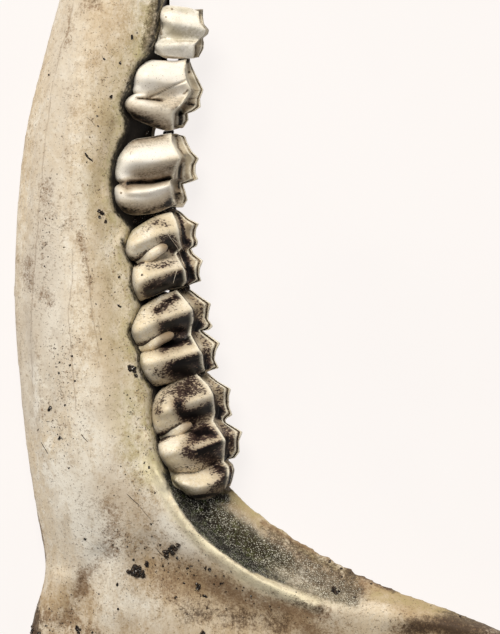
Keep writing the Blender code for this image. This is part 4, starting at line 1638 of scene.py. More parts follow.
@dataclass
class CheekTooth:
    """A cheek tooth, built from its outline: bulging lobes, hollow crown, cusps and root."""

    shape: CheekShape
    material: Material
    cuts_to_lobe: int = 56
    ring_points: int = 132
    root: float = 0.55
    end_width: float = 0.22
    end_powers: tuple[int, int] = (9, 6)
    column_radius: float = 1.15
    lean: float = 1.0
    tuck: float = 0.13
    spread: float = 1.3
    halo: float = 2.1

    def build(self) -> Piece:
        """Models the tooth, joins its column, and keeps its layers of paint.

        Returns:
            The dressed tooth.
        """
        rings, across, share, place = self.rings()
        crown = lofted(self.shape.name, rings, across=across, share=share, place=place)
        self.sculpt(crown)
        parts = [crown]
        if self.shape.column:
            parts.append(self.small_column(crown))
        tooth = joined(self.shape.name, parts)
        self.paint(tooth)
        dress(tooth, self.material, Slot.ENAMEL, (self.shape.node,))
        return tooth

    def outlines(self) -> tuple[Array, ...]:
        """The tooth's outlines by cut, softened where two lobes meet.

        Returns:
            The marks of foot, edge and inner edge, with each cut's place in its lobe, its lobe's
            ridge and its share of the tooth.
        """
        lobes = self.shape.lobes
        count = self.cuts_to_lobe
        lines = [np.vstack([along_line(getattr(lobe, name), count) for lobe in lobes])
                 for name in ("foot", "edge", "inner")]
        place = np.tile(np.linspace(-1, 1, count), len(lobes))
        ridge = np.repeat([lobe.ridge for lobe in lobes], count)
        share = np.linspace(0, 1, count * len(lobes))
        keep = np.ones(len(share), bool)
        keep[count::count] = False
        for index, (line, width) in enumerate(zip(lines, (9, 3, 2))):
            kernel = np.convolve(np.ones(width), np.ones(width)) / width**2
            edge = width - 1
            padded = np.vstack([2 * line[:1] - line[edge:0:-1], line,
                                2 * line[-1:] - line[-2:-2 - edge:-1]])
            lines[index] = np.stack([np.convolve(padded[:, axis], kernel, "valid")
                                     for axis in range(2)], -1)
        return (*(line[keep] for line in lines), place[keep], ridge[keep], share[keep])

    def rings(self) -> tuple[Array, ...]:
        """The rings across the tooth.

        Returns:
            Their points, how far round the ring and along the tooth each point lies, and its
            place in its lobe.
        """
        foot, edge, inner, place, ridge, share = self.outlines()
        sides = (along_line(self.shape.front, 60), along_line(self.shape.back, 60))
        power = np.where(share < 0.5, *self.end_powers)
        ends = self.end_width + (1 - self.end_width) * (1 - np.abs(2 * share - 1) ** power) ** 0.5
        cuts = [CrownCut(self.shape, sides, *values)
                for values in zip(foot, edge, inner, place, ridge, share, ends)]
        rings, across = zip(*(self.ring(cut) for cut in cuts))
        along, places = (np.repeat(values[:, None], self.ring_points, axis=1)
                         for values in (share, place))
        return np.array(rings), np.array(across), along, places

    def ring(self, cut: CrownCut) -> tuple[Array, Array]:
        """One ring, drawn smoothly through its corners.

        Args:
            cut: the cut that it lies in.

        Returns:
            Its points in millimetres, and how far round it each of them lies.
        """
        flat = np.array([(*mark, width, way) for mark, width, way in self.corners(cut)])
        around = np.vstack([flat[-2:], flat, flat[:3]])
        around[:2, 3] -= 5.0
        around[-3:, 3] += 5.0
        at = np.linspace(0, len(flat), self.ring_points, endpoint=False)
        values = smooth_curve(np.arange(-2, len(flat) + 3), around, at)
        heights = np.maximum(self.shape.middle + values[:, 2], 0.3)
        return under_marks(values[:, :2], heights), values[:, 3]

    def corners(self, cut: CrownCut) -> list[tuple[Array, float, float]]:
        """A ring's corners, up the outer wall, into the hollow crown and down the inner wall.

        The way round is -1 to 0 on the root, 1 at the outer edge, 2 at the inner edge and 3 at
        the inner foot.

        Args:
            cut: the cut that the ring lies in.

        Returns:
            A mark, a height over the tooth's middle in millimetres and a way round for each.
        """
        neck, belly, rim = self.shape.half
        foot, edge, inner, full, wall = cut.foot, cut.edge, cut.inner, cut.fullness, cut.wall
        lean = self.lean
        run = edge - foot
        reach = inner - edge
        rib = math.exp(-((cut.place + 0.15) / 0.4) ** 2)
        tuck = self.tuck * abs(cut.place) ** 4
        return [
            (foot - run * self.root, neck * 0.25 * cut.end, -1.0),
            (foot - run * 0.14, neck * 0.15 * full(0), -0.15),
            (wall(tuck), belly * 0.10 * full(0), 0.0),
            (wall(0.03 + tuck), belly * 0.42 * full(0.03), 0.03),
            (wall(0.08 + tuck), belly * 0.64 * full(0.08), 0.08),
            (wall(0.15 + tuck), belly * 0.81 * full(0.15), 0.15),
            (wall(0.25 + tuck), belly * 0.94 * full(0.25) - lean * 0.1, 0.25),
            (wall(0.38 + tuck), belly * full(0.38) - lean * 0.3, 0.38),
            (wall(0.56 + tuck * 0.7), (0.68 * belly + 0.32 * rim) * full(0.56) - lean * 0.5, 0.56),
            (wall(0.77 + tuck * 0.3), (0.30 * belly + 0.70 * rim) * full(0.8) - lean * 0.8, 0.77),
            (wall(0.95), rim * full(0.95) - lean, 0.95),
            (edge, (rim - 0.25) * full(1) - lean, 1.0),
            (edge + reach * 0.01 + (0.5, 0), (rim - 0.75) * full(1) - lean, 1.04),
            (edge + reach * 0.05, (rim - 2.6) * full(1) - lean, 1.2),
            (edge + reach * 0.25, -0.75 * rim + rib * 0.9 - lean, 1.5),
            (edge + reach * 0.76, -0.95 * rim + rib * 1.4 - lean, 1.82),
            (edge + reach * 0.84, -1.20 * rim + rib * 1.2 - lean, 1.88),
            (edge + reach * 0.94, -1.02 * rim + rib * 1.2 - lean, 1.95),
            (inner, -1.25 * rim + rib * 1.0 - lean, 2.0),
            (inner - reach * 0.3, -(0.4 * belly + 0.6 * rim + 1.0) * full(0.8, 0.7) - lean, 2.2),
            (foot + run * 0.75, -(0.8 * belly + 0.2 * rim) * full(0.5, 0.7) - lean, 2.5),
            (foot + run * 0.42, -neck * full(0, 0.5), 2.7),
            (foot, -neck * 0.9 * full(0, 0.5), 3.0),
            (foot - run * self.root, -neck * 0.45 * cut.end, 4.0),
        ]

    def sculpt(self, crown: Piece) -> None:
        """Presses the shaping strokes into the side that faces up.

        Args:
            crown: the crown.
        """
        points = points_of(crown)
        marks = seen_from_above(points)
        up = ease(-0.1, 0.35, facing_up(crown)) * (points[:, 2] > self.shape.middle - 3)
        points[:, 2] += up * pressed(marks, self.shape.shapes)
        move_points(crown, points)

    def small_column(self, crown: Piece) -> Piece:
        """The small column that rises out of the groove between two lobes of the crown.

        Args:
            crown: the crown that it leans on.

        Returns:
            The column.
        """
        count = 40
        line = along_line(self.shape.column, count)
        share = np.linspace(0, 1, count)
        radius = self.column_radius * (0.5 + 0.5 * ease(0.0, 0.35, share))
        radius *= 1 - 0.36 * ease(0.4, 1.0, share)
        radius *= np.sqrt(np.clip(1 - ((share - 0.80) / 0.205) ** 2 * (share > 0.80), 0.02, 1))
        ground = Ground(crown)
        near_foot, near_tip = line[count // 5], line[count * 4 // 5]
        foot, tip = (ground.under(tuple(mark))[2] for mark in (near_foot, near_tip))
        heights = foot - 0.8 + (tip + 0.9 - foot) * share + 0.7 * ease(0.05, 0.5, share)
        radii = radius[:, None]
        rings = tube(line, heights, radii * MARKS_PER_MM, radii, 36)
        across = np.full(rings.shape[:2], 0.4)
        return lofted("small_column", rings, across=across, share=-across, place=across)

    def paint(self, tooth: Piece) -> None:
        """Keeps the layers that the finish reads.

        Args:
            tooth: the tooth.
        """
        points = points_of(tooth)
        marks = seen_from_above(points)
        up = ease(-0.3, 0.3, facing_up(tooth))
        across = layer_of(tooth, "across")
        edge = sum(band(across, at, 0.03) for at in (1.0, 1.80, 1.96))
        edge = np.maximum(edge, painted(marks, self.shape.rims) * up)
        place = layer_of(tooth, "place")
        limit = 1.22 + 0.42 * ease(-0.3, 0.9, place)
        hollow = swell(across, 1.02, 1.07, limit - 0.1, limit + 0.2)
        hollow += ease(0.2, 1.0, place) * 0.6 * ease(1.5, 1.6, across)
        hollow *= 1 - ease(1.9, 1.94, across)
        between = band(across, 1.88, 0.025) * 0.75
        spread = [replace(stroke, reach=stroke.reach * self.spread) if stroke.reach > 4.5
                  else stroke for stroke in self.shape.stains]
        stains = painted(marks, spread) * (1 - painted(marks, self.shape.clean)) * up
        # Painted shade on the lobes' back slopes.
        back_slope = ease(0.35, 1.0, place) * ease(-0.02, 0.05, across) * (across < 1.0)
        stains = np.maximum(stains, back_slope * 0.42 * self.shape.inner_stain)
        if self.shape.column:
            shadow = strokes((8.5, 1.0, *self.shape.column))
            stains = np.maximum(stains, painted(marks, shadow) * 0.9)
            stains *= layer_of(tooth, "share") > -0.1
        # Painted shade in the hollow crown and along the groove by the inner edge.
        inside = np.maximum(hollow, between) * self.shape.inner_stain
        inner = swell(across, 1.2, 1.6, 2.4, 3.0) * 0.85
        halo = [replace(stroke, reach=stroke.reach * self.halo, power=stroke.power * 0.8)
                for stroke in self.shape.stains if stroke.reach > 3]
        wash = painted(marks, halo) * (1 - 0.5 * painted(marks, self.shape.clean)) * up
        inner_wash = inner * (0.75 if self.shape.column else 0.5)
        # Painted shade at the foot, where the tooth goes into the bone, and at its inner foot.
        foot = 1 - ease(-0.07, 0.015, across)
        keep_layers(
            tooth,
            rim=np.clip(edge, 0, 1),
            stain=np.maximum(stains, inside),
            wash=np.maximum(np.maximum(wash, stains), inner_wash),
            olive=np.maximum(painted(marks, self.shape.olive) * up, inner),
            grime=np.maximum(foot, ease(2.7, 3.0, across)) * 0.9,
            specks=0.4 + 0.6 * stains,
            aged=np.full(len(points), float(bool(self.shape.column))),
        )


@dataclass
class FrontTooth:
    """An incisor, or the canine beside them: a round root and neck, and a thin curved blade."""

    name: str
    node: str
    foot: Triple
    fan: float
    width: float
    length: float
    material: Material
    rake: float = 40.0
    curl: float = 14.0
    profile: tuple[Triple, ...] = (
        (-0.42, 0.30, 1.6), (-0.10, 0.42, 2.7), (0.12, 0.44, 2.9), (0.34, 0.56, 3.1),
        (0.62, 0.86, 2.6), (0.86, 1.00, 1.7), (0.96, 0.98, 1.1), (1.00, 0.90, 0.6),
    )

    def build(self) -> Piece:
        """Models the tooth, keeps its layers of paint and holds it inside its solid's box.

        Returns:
            The dressed tooth.
        """
        table = np.array(self.profile)
        shares = np.concatenate([np.linspace(-0.42, 0.9, 50), np.linspace(0.91, 1.0, 12)])
        sizes = smooth_curve(table[:, 0], table[:, 1:], shares)
        rings = np.array([self.ring(share, *size) for share, size in zip(shares, sizes)])
        tooth = lofted(self.name, rings, along=np.repeat(shares[:, None], rings.shape[1], axis=1))
        self.paint(tooth)
        box = np.array(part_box(self.node)) / MM
        move_points(tooth, np.clip(points_of(tooth), box[0], box[1]))
        dress(tooth, self.material, Slot.ENAMEL, (self.node,))
        return tooth

    def ring(self, share: float, width: float, thickness: float) -> Array:
        """One ring across the tooth.

        Args:
            share: where it lies, from 0 at the gum to 1 at the cutting edge.
            width: its width as a share of the tooth's greatest.
            thickness: its thickness in millimetres.

        Returns:
            Its points in millimetres.
        """
        fan = math.radians(self.fan)
        bend = math.radians(self.rake + self.curl * share)
        ahead = np.array([math.sin(bend), math.cos(bend) * math.cos(fan), math.sin(fan)])
        ahead /= np.linalg.norm(ahead)
        side = np.array([0.0, -math.sin(fan), math.cos(fan)])
        side -= ahead * ahead.dot(side)
        side /= np.linalg.norm(side)
        face = np.cross(ahead, side)
        turns = np.linspace(0, 2 * math.pi, 56, endpoint=False)
        hollow = 0.35 * max(0.0, share - 0.4) * np.maximum(np.sin(turns), 0) ** 2
        foot = np.array(self.foot) - (*PLAN_CENTRE, 0.0)
        ring = (foot + ahead * self.length * share
                + np.outer(np.cos(turns) * self.width * width / 2, side)
                + np.outer(np.sin(turns) * thickness / 2 - hollow, face))
        ring[:, 2] = np.maximum(ring[:, 2], 0.15)
        return ring

    def paint(self, tooth: Piece) -> None:
        """Keeps the layers that the finish reads.

        Args:
            tooth: the tooth.
        """
        along = layer_of(tooth, "along")
        # Darker towards the root, and darkest at the root itself.
        keep_layers(
            tooth,
            stain=0.38 * (1 - ease(0.0, 0.36, along)),
            olive=0.7 * (1 - ease(0.12, 0.5, along)),
            grime=0.8 * (1 - ease(-0.24, -0.08, along)),
            specks=0.5 * (1 - ease(0.2, 0.6, along)),
            rim=np.zeros(len(along)),
            aged=np.full(len(along), 0.5),
        )


@dataclass
class Studio:
    """The pale floor, the soft lights and the eye above."""

    floor_size: float = 3.0
    floor_drop: float = 0.0002
    floor_colour: tuple = ink(92, 90, 89)
    floor_shade: tuple = ink(88, 86, 85)
    floor_glow: tuple = ink(254, 249, 246)
    world_light: float = 0.20
    world_colour: tuple = ink(255, 252, 248)
    key_place: Triple = (-0.20, 0.55, 0.74)
    key_power: float = 10.8
    fill_place: Triple = (0.5, -0.35, 0.7)
    fill_power: float = 0.5

    def build(self) -> None:
        """Sets the floor, lights, world and camera."""
        bpy.ops.object.select_all(action="DESELECT")
        place = (0, 0, -self.floor_drop)
        bpy.ops.mesh.primitive_plane_add(size=self.floor_size, location=place)
        floor = bpy.context.active_object
        floor.name = "studio_floor"
        settle(floor)
        floor.data.materials.append(self.floor_material())
        world = bpy.data.worlds.new("studio_air")
        bpy.context.scene.world = world
        world.use_nodes = True
        air = world.node_tree.nodes["Background"]
        air.inputs["Color"].default_value = self.world_colour
        air.inputs["Strength"].default_value = self.world_light
        self.lamp("key_light", self.key_place, 0.5, self.key_power, ink(255, 250, 240))
        self.lamp("fill_light", self.fill_place, 0.6, self.fill_power, ink(240, 245, 255))
        bpy.context.scene.view_settings.view_transform = "Standard"
        bpy.context.scene.view_settings.look = "None"
        self.camera()

    def floor_material(self) -> Material:
        """Pale, faintly mottled paper that glows a little, so that shadows stay light.

        Returns:
            The material.
        """
        sheet = Sheet("pale_paper")
        mottle = sheet.noise(40, 3, 0.5)
        colour = sheet.coated(self.floor_colour, (self.floor_shade, sheet.rise(mottle, 0.4, 0.7)))
        return sheet.surface(colour, 0.9, mottle, 0.02, Emission_Color=self.floor_glow,
                             Emission_Strength=0.87, Specular_IOR_Level=0.1)

    def lamp(self, name: str, place: Triple, size: float, power: float, colour: tuple) -> None:
        """A square soft light that faces the middle of the part.

        Args:
            name: its name.
            place: where it hangs, in metres.
            size: its side, in metres.
            power: its power, in watts.
            colour: its colour.
        """
        light = bpy.data.lights.new(name, "AREA")
        light.size = size
        light.energy = power
        light.color = colour[:3]
        lamp = bpy.data.objects.new(name, light)
        lamp.location = place
        lamp.rotation_euler = (-Vector(place)).to_track_quat("-Z", "Y").to_euler()
        bpy.context.scene.collection.objects.link(lamp)

    def camera(self) -> None:
        """The camera, straight above the cheek teeth, framing 500 by 634 marks."""
        data = bpy.data.cameras.new("eye")
        data.sensor_width = SENSOR
        data.lens = SENSOR * EYE_DISTANCE / (VIEW_MARKS[1] / MARKS_PER_MM)
        data.clip_start = 0.01
        eye = bpy.data.objects.new("eye", data)
        eye.location = (*(-PLAN_CENTRE * MM), (FOCUS_HEIGHT + EYE_DISTANCE) * MM)
        bpy.context.scene.collection.objects.link(eye)
        bpy.context.scene.camera = eye


@dataclass(frozen=True)
class SoilFinish:
    """Dried soil: nearly black brown, with a damp glint."""

    dark: tuple = ink(24, 18, 15)
    brown: tuple = ink(84, 66, 50)
    glint: tuple = ink(226, 222, 214)

    def material(self) -> Material:
        """The finish as a material.

        Returns:
            The material.
        """
        sheet = Sheet("dried_soil")
        grain = sheet.noise(0.35, 4, 0.7)
        colour = sheet.coated(
            self.dark,
            (self.brown, sheet.rise(grain, 0.5, 0.64)),
            (self.glint, sheet.rise(sheet.noise(0.24, 2), 0.65, 0.68)),
        )
        return sheet.surface(colour, 0.3 + grain * 0.3, grain, 0.5, Specular_IOR_Level=0.3)


@dataclass(frozen=True)
class Clump:
    """A lump of soil stuck to the bone: its mark, its radius in marks and how many crumbs."""

    mark: Pair
    radius: float
    crumbs: int = 1


# Each row is a place's two marks, the clump's radius in marks and its number of crumbs.
CLUMPS = tuple(Clump((x, y), radius, crumbs) for x, y, radius, crumbs in (
    (137, 570, 7.0, 16), (147, 563, 3.8, 6), (133, 560, 2.4, 3), (172, 549, 5.0, 10),
    (177, 558, 2.8, 3), (165, 552, 4.5, 5), (153, 558, 1.8, 2), (210, 570, 3.0, 4),
    (199, 586, 4.2, 6), (203, 596, 3.0, 4), (176, 597, 2.4, 2), (77, 629, 4.2, 6),
    (203, 632, 3.4, 4), (117, 585, 2.4, 3), (85, 539, 1.9, 1), (113, 545, 1.9, 2),
    (151, 524, 1.4, 1), (155, 493, 1.3, 1), (149, 467, 2.2, 2), (69, 468, 1.4, 1),
    (118, 609, 1.7, 1), (29, 622, 2.6, 4), (33, 629, 3.0, 5), (39, 633, 2.6, 4), (33, 614, 1.8, 3),
    (37, 605, 1.4, 2), (49, 609, 1.2, 1), (99, 594, 1.2, 1), (355, 597, 2.6, 3), (342, 577, 1.6, 1),
    (371, 584, 1.5, 1), (460, 617, 1.8, 1), (336, 592, 4.2, 7), (132, 368, 4.6, 8),
    (136, 376, 3.0, 5), (101, 213, 3.6, 6), (106, 222, 2.6, 4), (111, 97, 3.0, 4), (49, 75, 1.5, 1),
    (104, 59, 1.7, 1), (120, 63, 1.8, 1), (97, 116, 1.4, 1), (98, 126, 1.3, 1), (87, 155, 1.5, 2),
    (91, 160, 1.6, 2), (132, 37, 2.6, 5), (137, 33, 1.4, 2), (72, 356, 1.6, 1), (70, 365, 1.7, 1),
    (60, 362, 1.8, 2), (59, 373, 1.6, 1), (75, 381, 1.5, 1), (50, 408, 3.0, 5), (65, 405, 1.8, 2),
    (60, 437, 2.4, 4), (38, 430, 1.6, 2), (119, 277, 1.7, 1), (119, 306, 2.2, 3),
    (101, 339, 1.3, 1), (96, 304, 1.0, 1), (142, 275, 1.5, 1), (138, 222, 4.5, 8),
    (147, 217, 3.2, 5), (228, 553, 1.3, 1), (224, 576, 1.4, 1), (237, 588, 1.6, 2),
    (188, 568, 1.8, 2), (163, 566, 1.5, 1), (251, 596, 1.7, 1), (319, 608, 1.2, 1),
    (318, 556, 1.8, 3), (330, 562, 2.4, 5), (341, 568, 2.2, 5), (350, 573, 1.6, 3),
    (410, 597, 1.4, 2), (420, 601, 1.8, 3), (431, 606, 1.5, 2), (300, 546, 1.3, 2),
    (92, 633, 2.0, 3), (184, 583, 1.6, 1), (215, 576, 1.6, 2), (222, 583, 2.2, 4),
    (243, 590, 1.4, 2), (192, 566, 2.0, 2), (199, 561, 1.5, 2), (206, 567, 2.2, 3),
    (231, 571, 1.4, 2), (214, 584, 1.3, 1), (225, 592, 1.5, 2), (194, 575, 1.2, 1),
    (180, 566, 1.4, 2), (46, 626, 1.4, 2), (270, 606, 1.2, 1), (152, 536, 1.4, 2),
    (160, 545, 1.8, 3),
))
# Soil packed between neighbouring teeth: a stroke's power is the height of its top.
PLUGS = strokes(
    (5.0, 7.0, (154, 56), (161, 60), (167, 61)), (3.5, 7.0, (178, 60), (190, 60)),
    (6.5, 7.2, (124, 128), (138, 133), (149, 133)), (2.6, 6.0, (163, 133.5), (174, 131.5)),
    (7.5, 7.6, (122, 222), (140, 219), (155, 214), (176, 208)),
    (5.0, 7.4, (135, 304), (148, 301), (168, 293.5)), (4.4, 6.8, (169.2, 292.2), (190, 287)),
    (6.0, 7.4, (146, 392), (160, 386), (185, 378), (205, 372)),
)
# Where loose specks lie, and how thickly: a stroke's power is their number.
LITTER = strokes(
    (20, 60, (66, 345), (62, 380), (58, 436)), (45, 70, (125, 540), (200, 580)),
    (26, 28, (140, 500), (120, 470), (118, 430)), (34, 26, (105, 80), (100, 200)),
    (22, 30, (125, 260), (118, 340), (130, 400)), (22, 34, (190, 600), (320, 615)),
    (14, 22, (46, 205), (50, 260)), (24, 20, (60, 590), (90, 625)), (9, 60, (31, 600), (31, 634)),
    (20, 30, (40, 615), (60, 632)), (22, 40, (200, 505), (260, 560), (320, 585)),
    (12, 26, (160, 425), (135, 480)),
)


# Thin rootlets and hairs that lie on the bone and teeth; a stroke's reach is its radius.
ROOTLETS = strokes(
    (0.85, 0.05, (85, 152), (86, 155), (88.5, 158), (92, 160.5)),
    (0.32, 0.03, (41, 442), (44, 447), (48, 454)), (0.35, 0.03, (81, 434), (84, 438), (88, 442)),
    (0.2, 0.0, (86, 117), (91, 120), (95, 126)), (0.3, 0.02, (127, 494), (133, 500), (139, 505)),
    (0.17, 0.0, (139, 505), (144, 512), (152, 521)),
    (0.3, 0.02, (168, 560), (160, 553), (156, 548)),
)
HAIRS = strokes(
    (0.34, 0.35, (166, 232), (172, 240), (178, 248), (181, 258), (186, 268)),
    (0.28, 0.3, (178, 268), (175, 276), (173, 284)),
    (0.28, 0.3, (172, 238), (178, 243), (184, 251)),
    (0.30, 0.25, (151, 303), (160, 297), (166, 294)),
    (0.35, 0.3, (229, 470), (228, 480), (226, 486)),
)


@dataclass
class Rootlets:
    """Fine threads that lie on the ground below them, such as rootlets and hairs."""

    name: str
    lines: tuple[Stroke, ...]
    ground: Ground
    material: Material

    def build(self) -> Piece:
        """Models each thread and joins them.

        Returns:
            The dressed threads, as one piece.
        """
        threads = joined(self.name, [self.thread(stroke) for stroke in self.lines])
        dress(threads, self.material, Slot.BONE)
        return threads

    def thread(self, stroke: Stroke) -> Piece:
        """One thread along a stroke: its reach is the radius, its power the height it lies at.

        Args:
            stroke: where the thread lies.

        Returns:
            The thread.
        """
        count = 24
        line = along_line(stroke.line, count)
        for _ in range(3):
            line[1:-1] = (line[:-2] + line[1:-1] * 2 + line[2:]) / 4
        spots = [self.ground.under((float(x), float(y))) for x, y in line]
        heights = np.array([spot[2] if spot is not None else np.nan for spot in spots])
        known = np.isfinite(heights)
        heights = np.interp(np.arange(count), np.nonzero(known)[0], heights[known])
        for _ in range(4):
            heights[1:-1] = (heights[:-2] + heights[1:-1] * 2 + heights[2:]) / 4
        thin = np.sqrt(np.clip(1 - np.abs(np.linspace(-1, 1, count)) ** 6, 0.1, 1)) * stroke.reach
        radii = thin[:, None]
        rings = tube(line, heights + stroke.power, radii, radii / MARKS_PER_MM, 8)
        return lofted("thread", rings)


@dataclass
class Soil:
    """Crumbs of soil on the bone: the clumps that stand out, and a litter of specks."""

    ground: Ground
    finish: SoilFinish = SoilFinish()
    seed: int = 7

    def build(self) -> Piece:
        """Models one crumb, copies it to its places and joins the copies.

        Returns:
            The dressed soil, as one piece.
        """
        draw = np.random.default_rng(self.seed)
        lump = self.crumb("soil_lump", 2)
        speck = self.crumb("soil_speck", 1)
        pieces = []
        for clump in CLUMPS:
            for number in range(clump.crumbs):
                away = draw.normal(0, 0.42, 2) * clump.radius * (number > 0)
                size = clump.radius * (0.8 if clump.crumbs == 1 else draw.uniform(0.34, 0.62))
                pieces.append(self.set_down(lump, np.array(clump.mark) + away, size, draw))
        for stroke in LITTER:
            line = along_line(stroke.line, 50)
            for _ in range(int(stroke.power)):
                away = draw.normal(0, 0.45, 2) * stroke.reach
                mark = line[draw.integers(0, 50)] + away
                size = draw.uniform(0.35, 1.0) * draw.uniform(0.6, 1.1)
                pieces.append(self.set_down(speck, mark, size, draw))
        for model in (lump, speck):
            bpy.data.objects.remove(model)
        pieces += [self.plug(stroke, draw) for stroke in PLUGS]
        soil = joined("soil_crumbs", [piece for piece in pieces if piece])
        settle(soil)
        dress(soil, self.finish.material(), Slot.BONE)
        return soil

    def plug(self, stroke: Stroke, draw: np.random.Generator) -> Piece:
        """Soil packed along a line between two teeth, as a lumpy sausage.

        Args:
            stroke: where the soil lies.
            draw: the source of its lumps.

        Returns:
            The plug.
        """
        count, sides, half = 30, 20, 1.2
        line = along_line(stroke.line, count)
        share = np.linspace(0, 1, count)
        radius = stroke.reach * np.sqrt(np.clip(1 - np.abs(2 * share - 1) ** 4, 0.05, 1))
        lumps = draw.uniform(0.85, 1.1, (count, sides))
        heights = np.full(count, stroke.power - half)
        rings = tube(line, heights, radius[:, None] * lumps, lumps * half, sides)
        return lofted("packed_soil", rings)

    def crumb(self, name: str, rounds: int) -> Piece:
        """A crumb that copies are made from, flattened a little.

        Args:
            name: its name.
            rounds: how finely it is divided.

        Returns:
            The crumb.
        """
        bpy.ops.object.select_all(action="DESELECT")
        bpy.ops.mesh.primitive_ico_sphere_add(subdivisions=rounds, radius=MM)
        crumb = bpy.context.active_object
        crumb.name = name
        bpy.ops.object.mode_set(mode="EDIT")
        bpy.ops.mesh.select_all(action="SELECT")
        bpy.ops.transform.resize(value=(1.0, 0.85, 0.75))
        bpy.ops.object.mode_set(mode="OBJECT")
        bpy.ops.object.shade_smooth()
        return crumb

    def set_down(self, model: Piece, mark: Array, size: float,
                 draw: np.random.Generator) -> Union[Piece, None]:
        """A copy of the crumb at a mark, dented and turned its own way.

        Args:
            model: the crumb.
            mark: where it is seen.
            size: its radius in marks.
            draw: the source of its chances.

        Returns:
            The copy, or None if nothing lies under that mark.
        """
        place = self.ground.under((float(mark[0]), float(mark[1])))
        turn = draw.uniform(0, 2 * math.pi)
        dents = draw.uniform(0.72, 1.2, len(model.data.vertices))
        if place is None:
            return None
        copy = model.copy()
        copy.data = model.data.copy()
        bpy.context.scene.collection.objects.link(copy)
        radius = size / MARKS_PER_MM
        shape = points_of(copy) * dents[:, None] * radius
        cos, sin = math.cos(turn), math.sin(turn)
        shape[:, :2] = shape[:, :2] @ np.array([[cos, sin], [-sin, cos]])
        move_points(copy, shape + place + (0.0, 0.0, radius * 0.12))
        return copy


OLIVE = strokes(
    (22, 0.5, (150, 0), (154, 30), (146, 52)), (24, 0.4, (122, 400), (132, 450), (150, 480)),
    (12, 0.7, (228, 492), (262, 520), (310, 552), (350, 575)),
    (12, 0.5, (370, 592), (405, 600), (470, 618)), (12, 0.5, (245, 575), (300, 592), (345, 600)),
)
# Painted shade along the left edges of the cheek teeth, where the bone meets them.
MARGIN_SHADE = strokes(
    (4.5, 0.7, (160, -6), (159, 8), (157.5, 26), (153, 40), (150, 50)),
    (5.6, 0.78, (150, 56), (140, 63), (132, 77), (128, 89), (123, 100), (122, 110), (126, 120),
     (127, 132), (120, 144), (114, 160), (112, 180), (114, 196), (120, 210)),
    (4.5, 0.7, (122.5, 240), (126.5, 255), (132, 264), (131, 285), (135, 299)),
    (4.5, 0.7, (130.5, 324), (129.5, 334), (133, 343), (138.5, 351), (139, 366), (143, 378)),
)
MOSS = strokes(
    (11, 1.0, (172, 480), (184, 503), (203, 529), (231, 551), (254, 566)),
    (6, 0.62, (240, 556), (262, 571), (284, 582)), (18, 0.9, (186, 494), (205, 517), (225, 538)),
    (12, 0.9, (200, 500), (224, 498)), (12, 0.6, (225, 545), (255, 566)),
)
BONE_SHAPES = strokes(
    (6, -0.5, (95, 5)),
    (11, 0.9, (150, 440), (161, 475), (173, 499), (192, 528), (212, 549), (236, 565), (262, 580),
     (287, 592), (316, 604)),
    (17, -1.3, (178, 490), (196, 514), (222, 536), (250, 555), (285, 573)),
    (34, -1.0, (150, 560), (205, 596), (270, 620)), (20, -0.8, (100, 560), (88, 590), (74, 625)),
    (15, 0.5, (60, 580), (52, 610), (48, 640)), (24, 0.4, (120, 610), (125, 560), (118, 530)),
    (7, 0.35, (42, 450), (38, 380), (30, 300)), (9, -0.25, (52, 440), (48, 380)),
    (26, 0.35, (96, 120), (90, 250), (100, 400)), (14, -0.3, (120, 130), (100, 190)),
    (9, 0.4, (128, 228), (122, 244)), (12, 0.3, (360, 600), (430, 618), (500, 632)),
    (16, -0.6, (395, 634), (440, 638), (500, 650)),
)
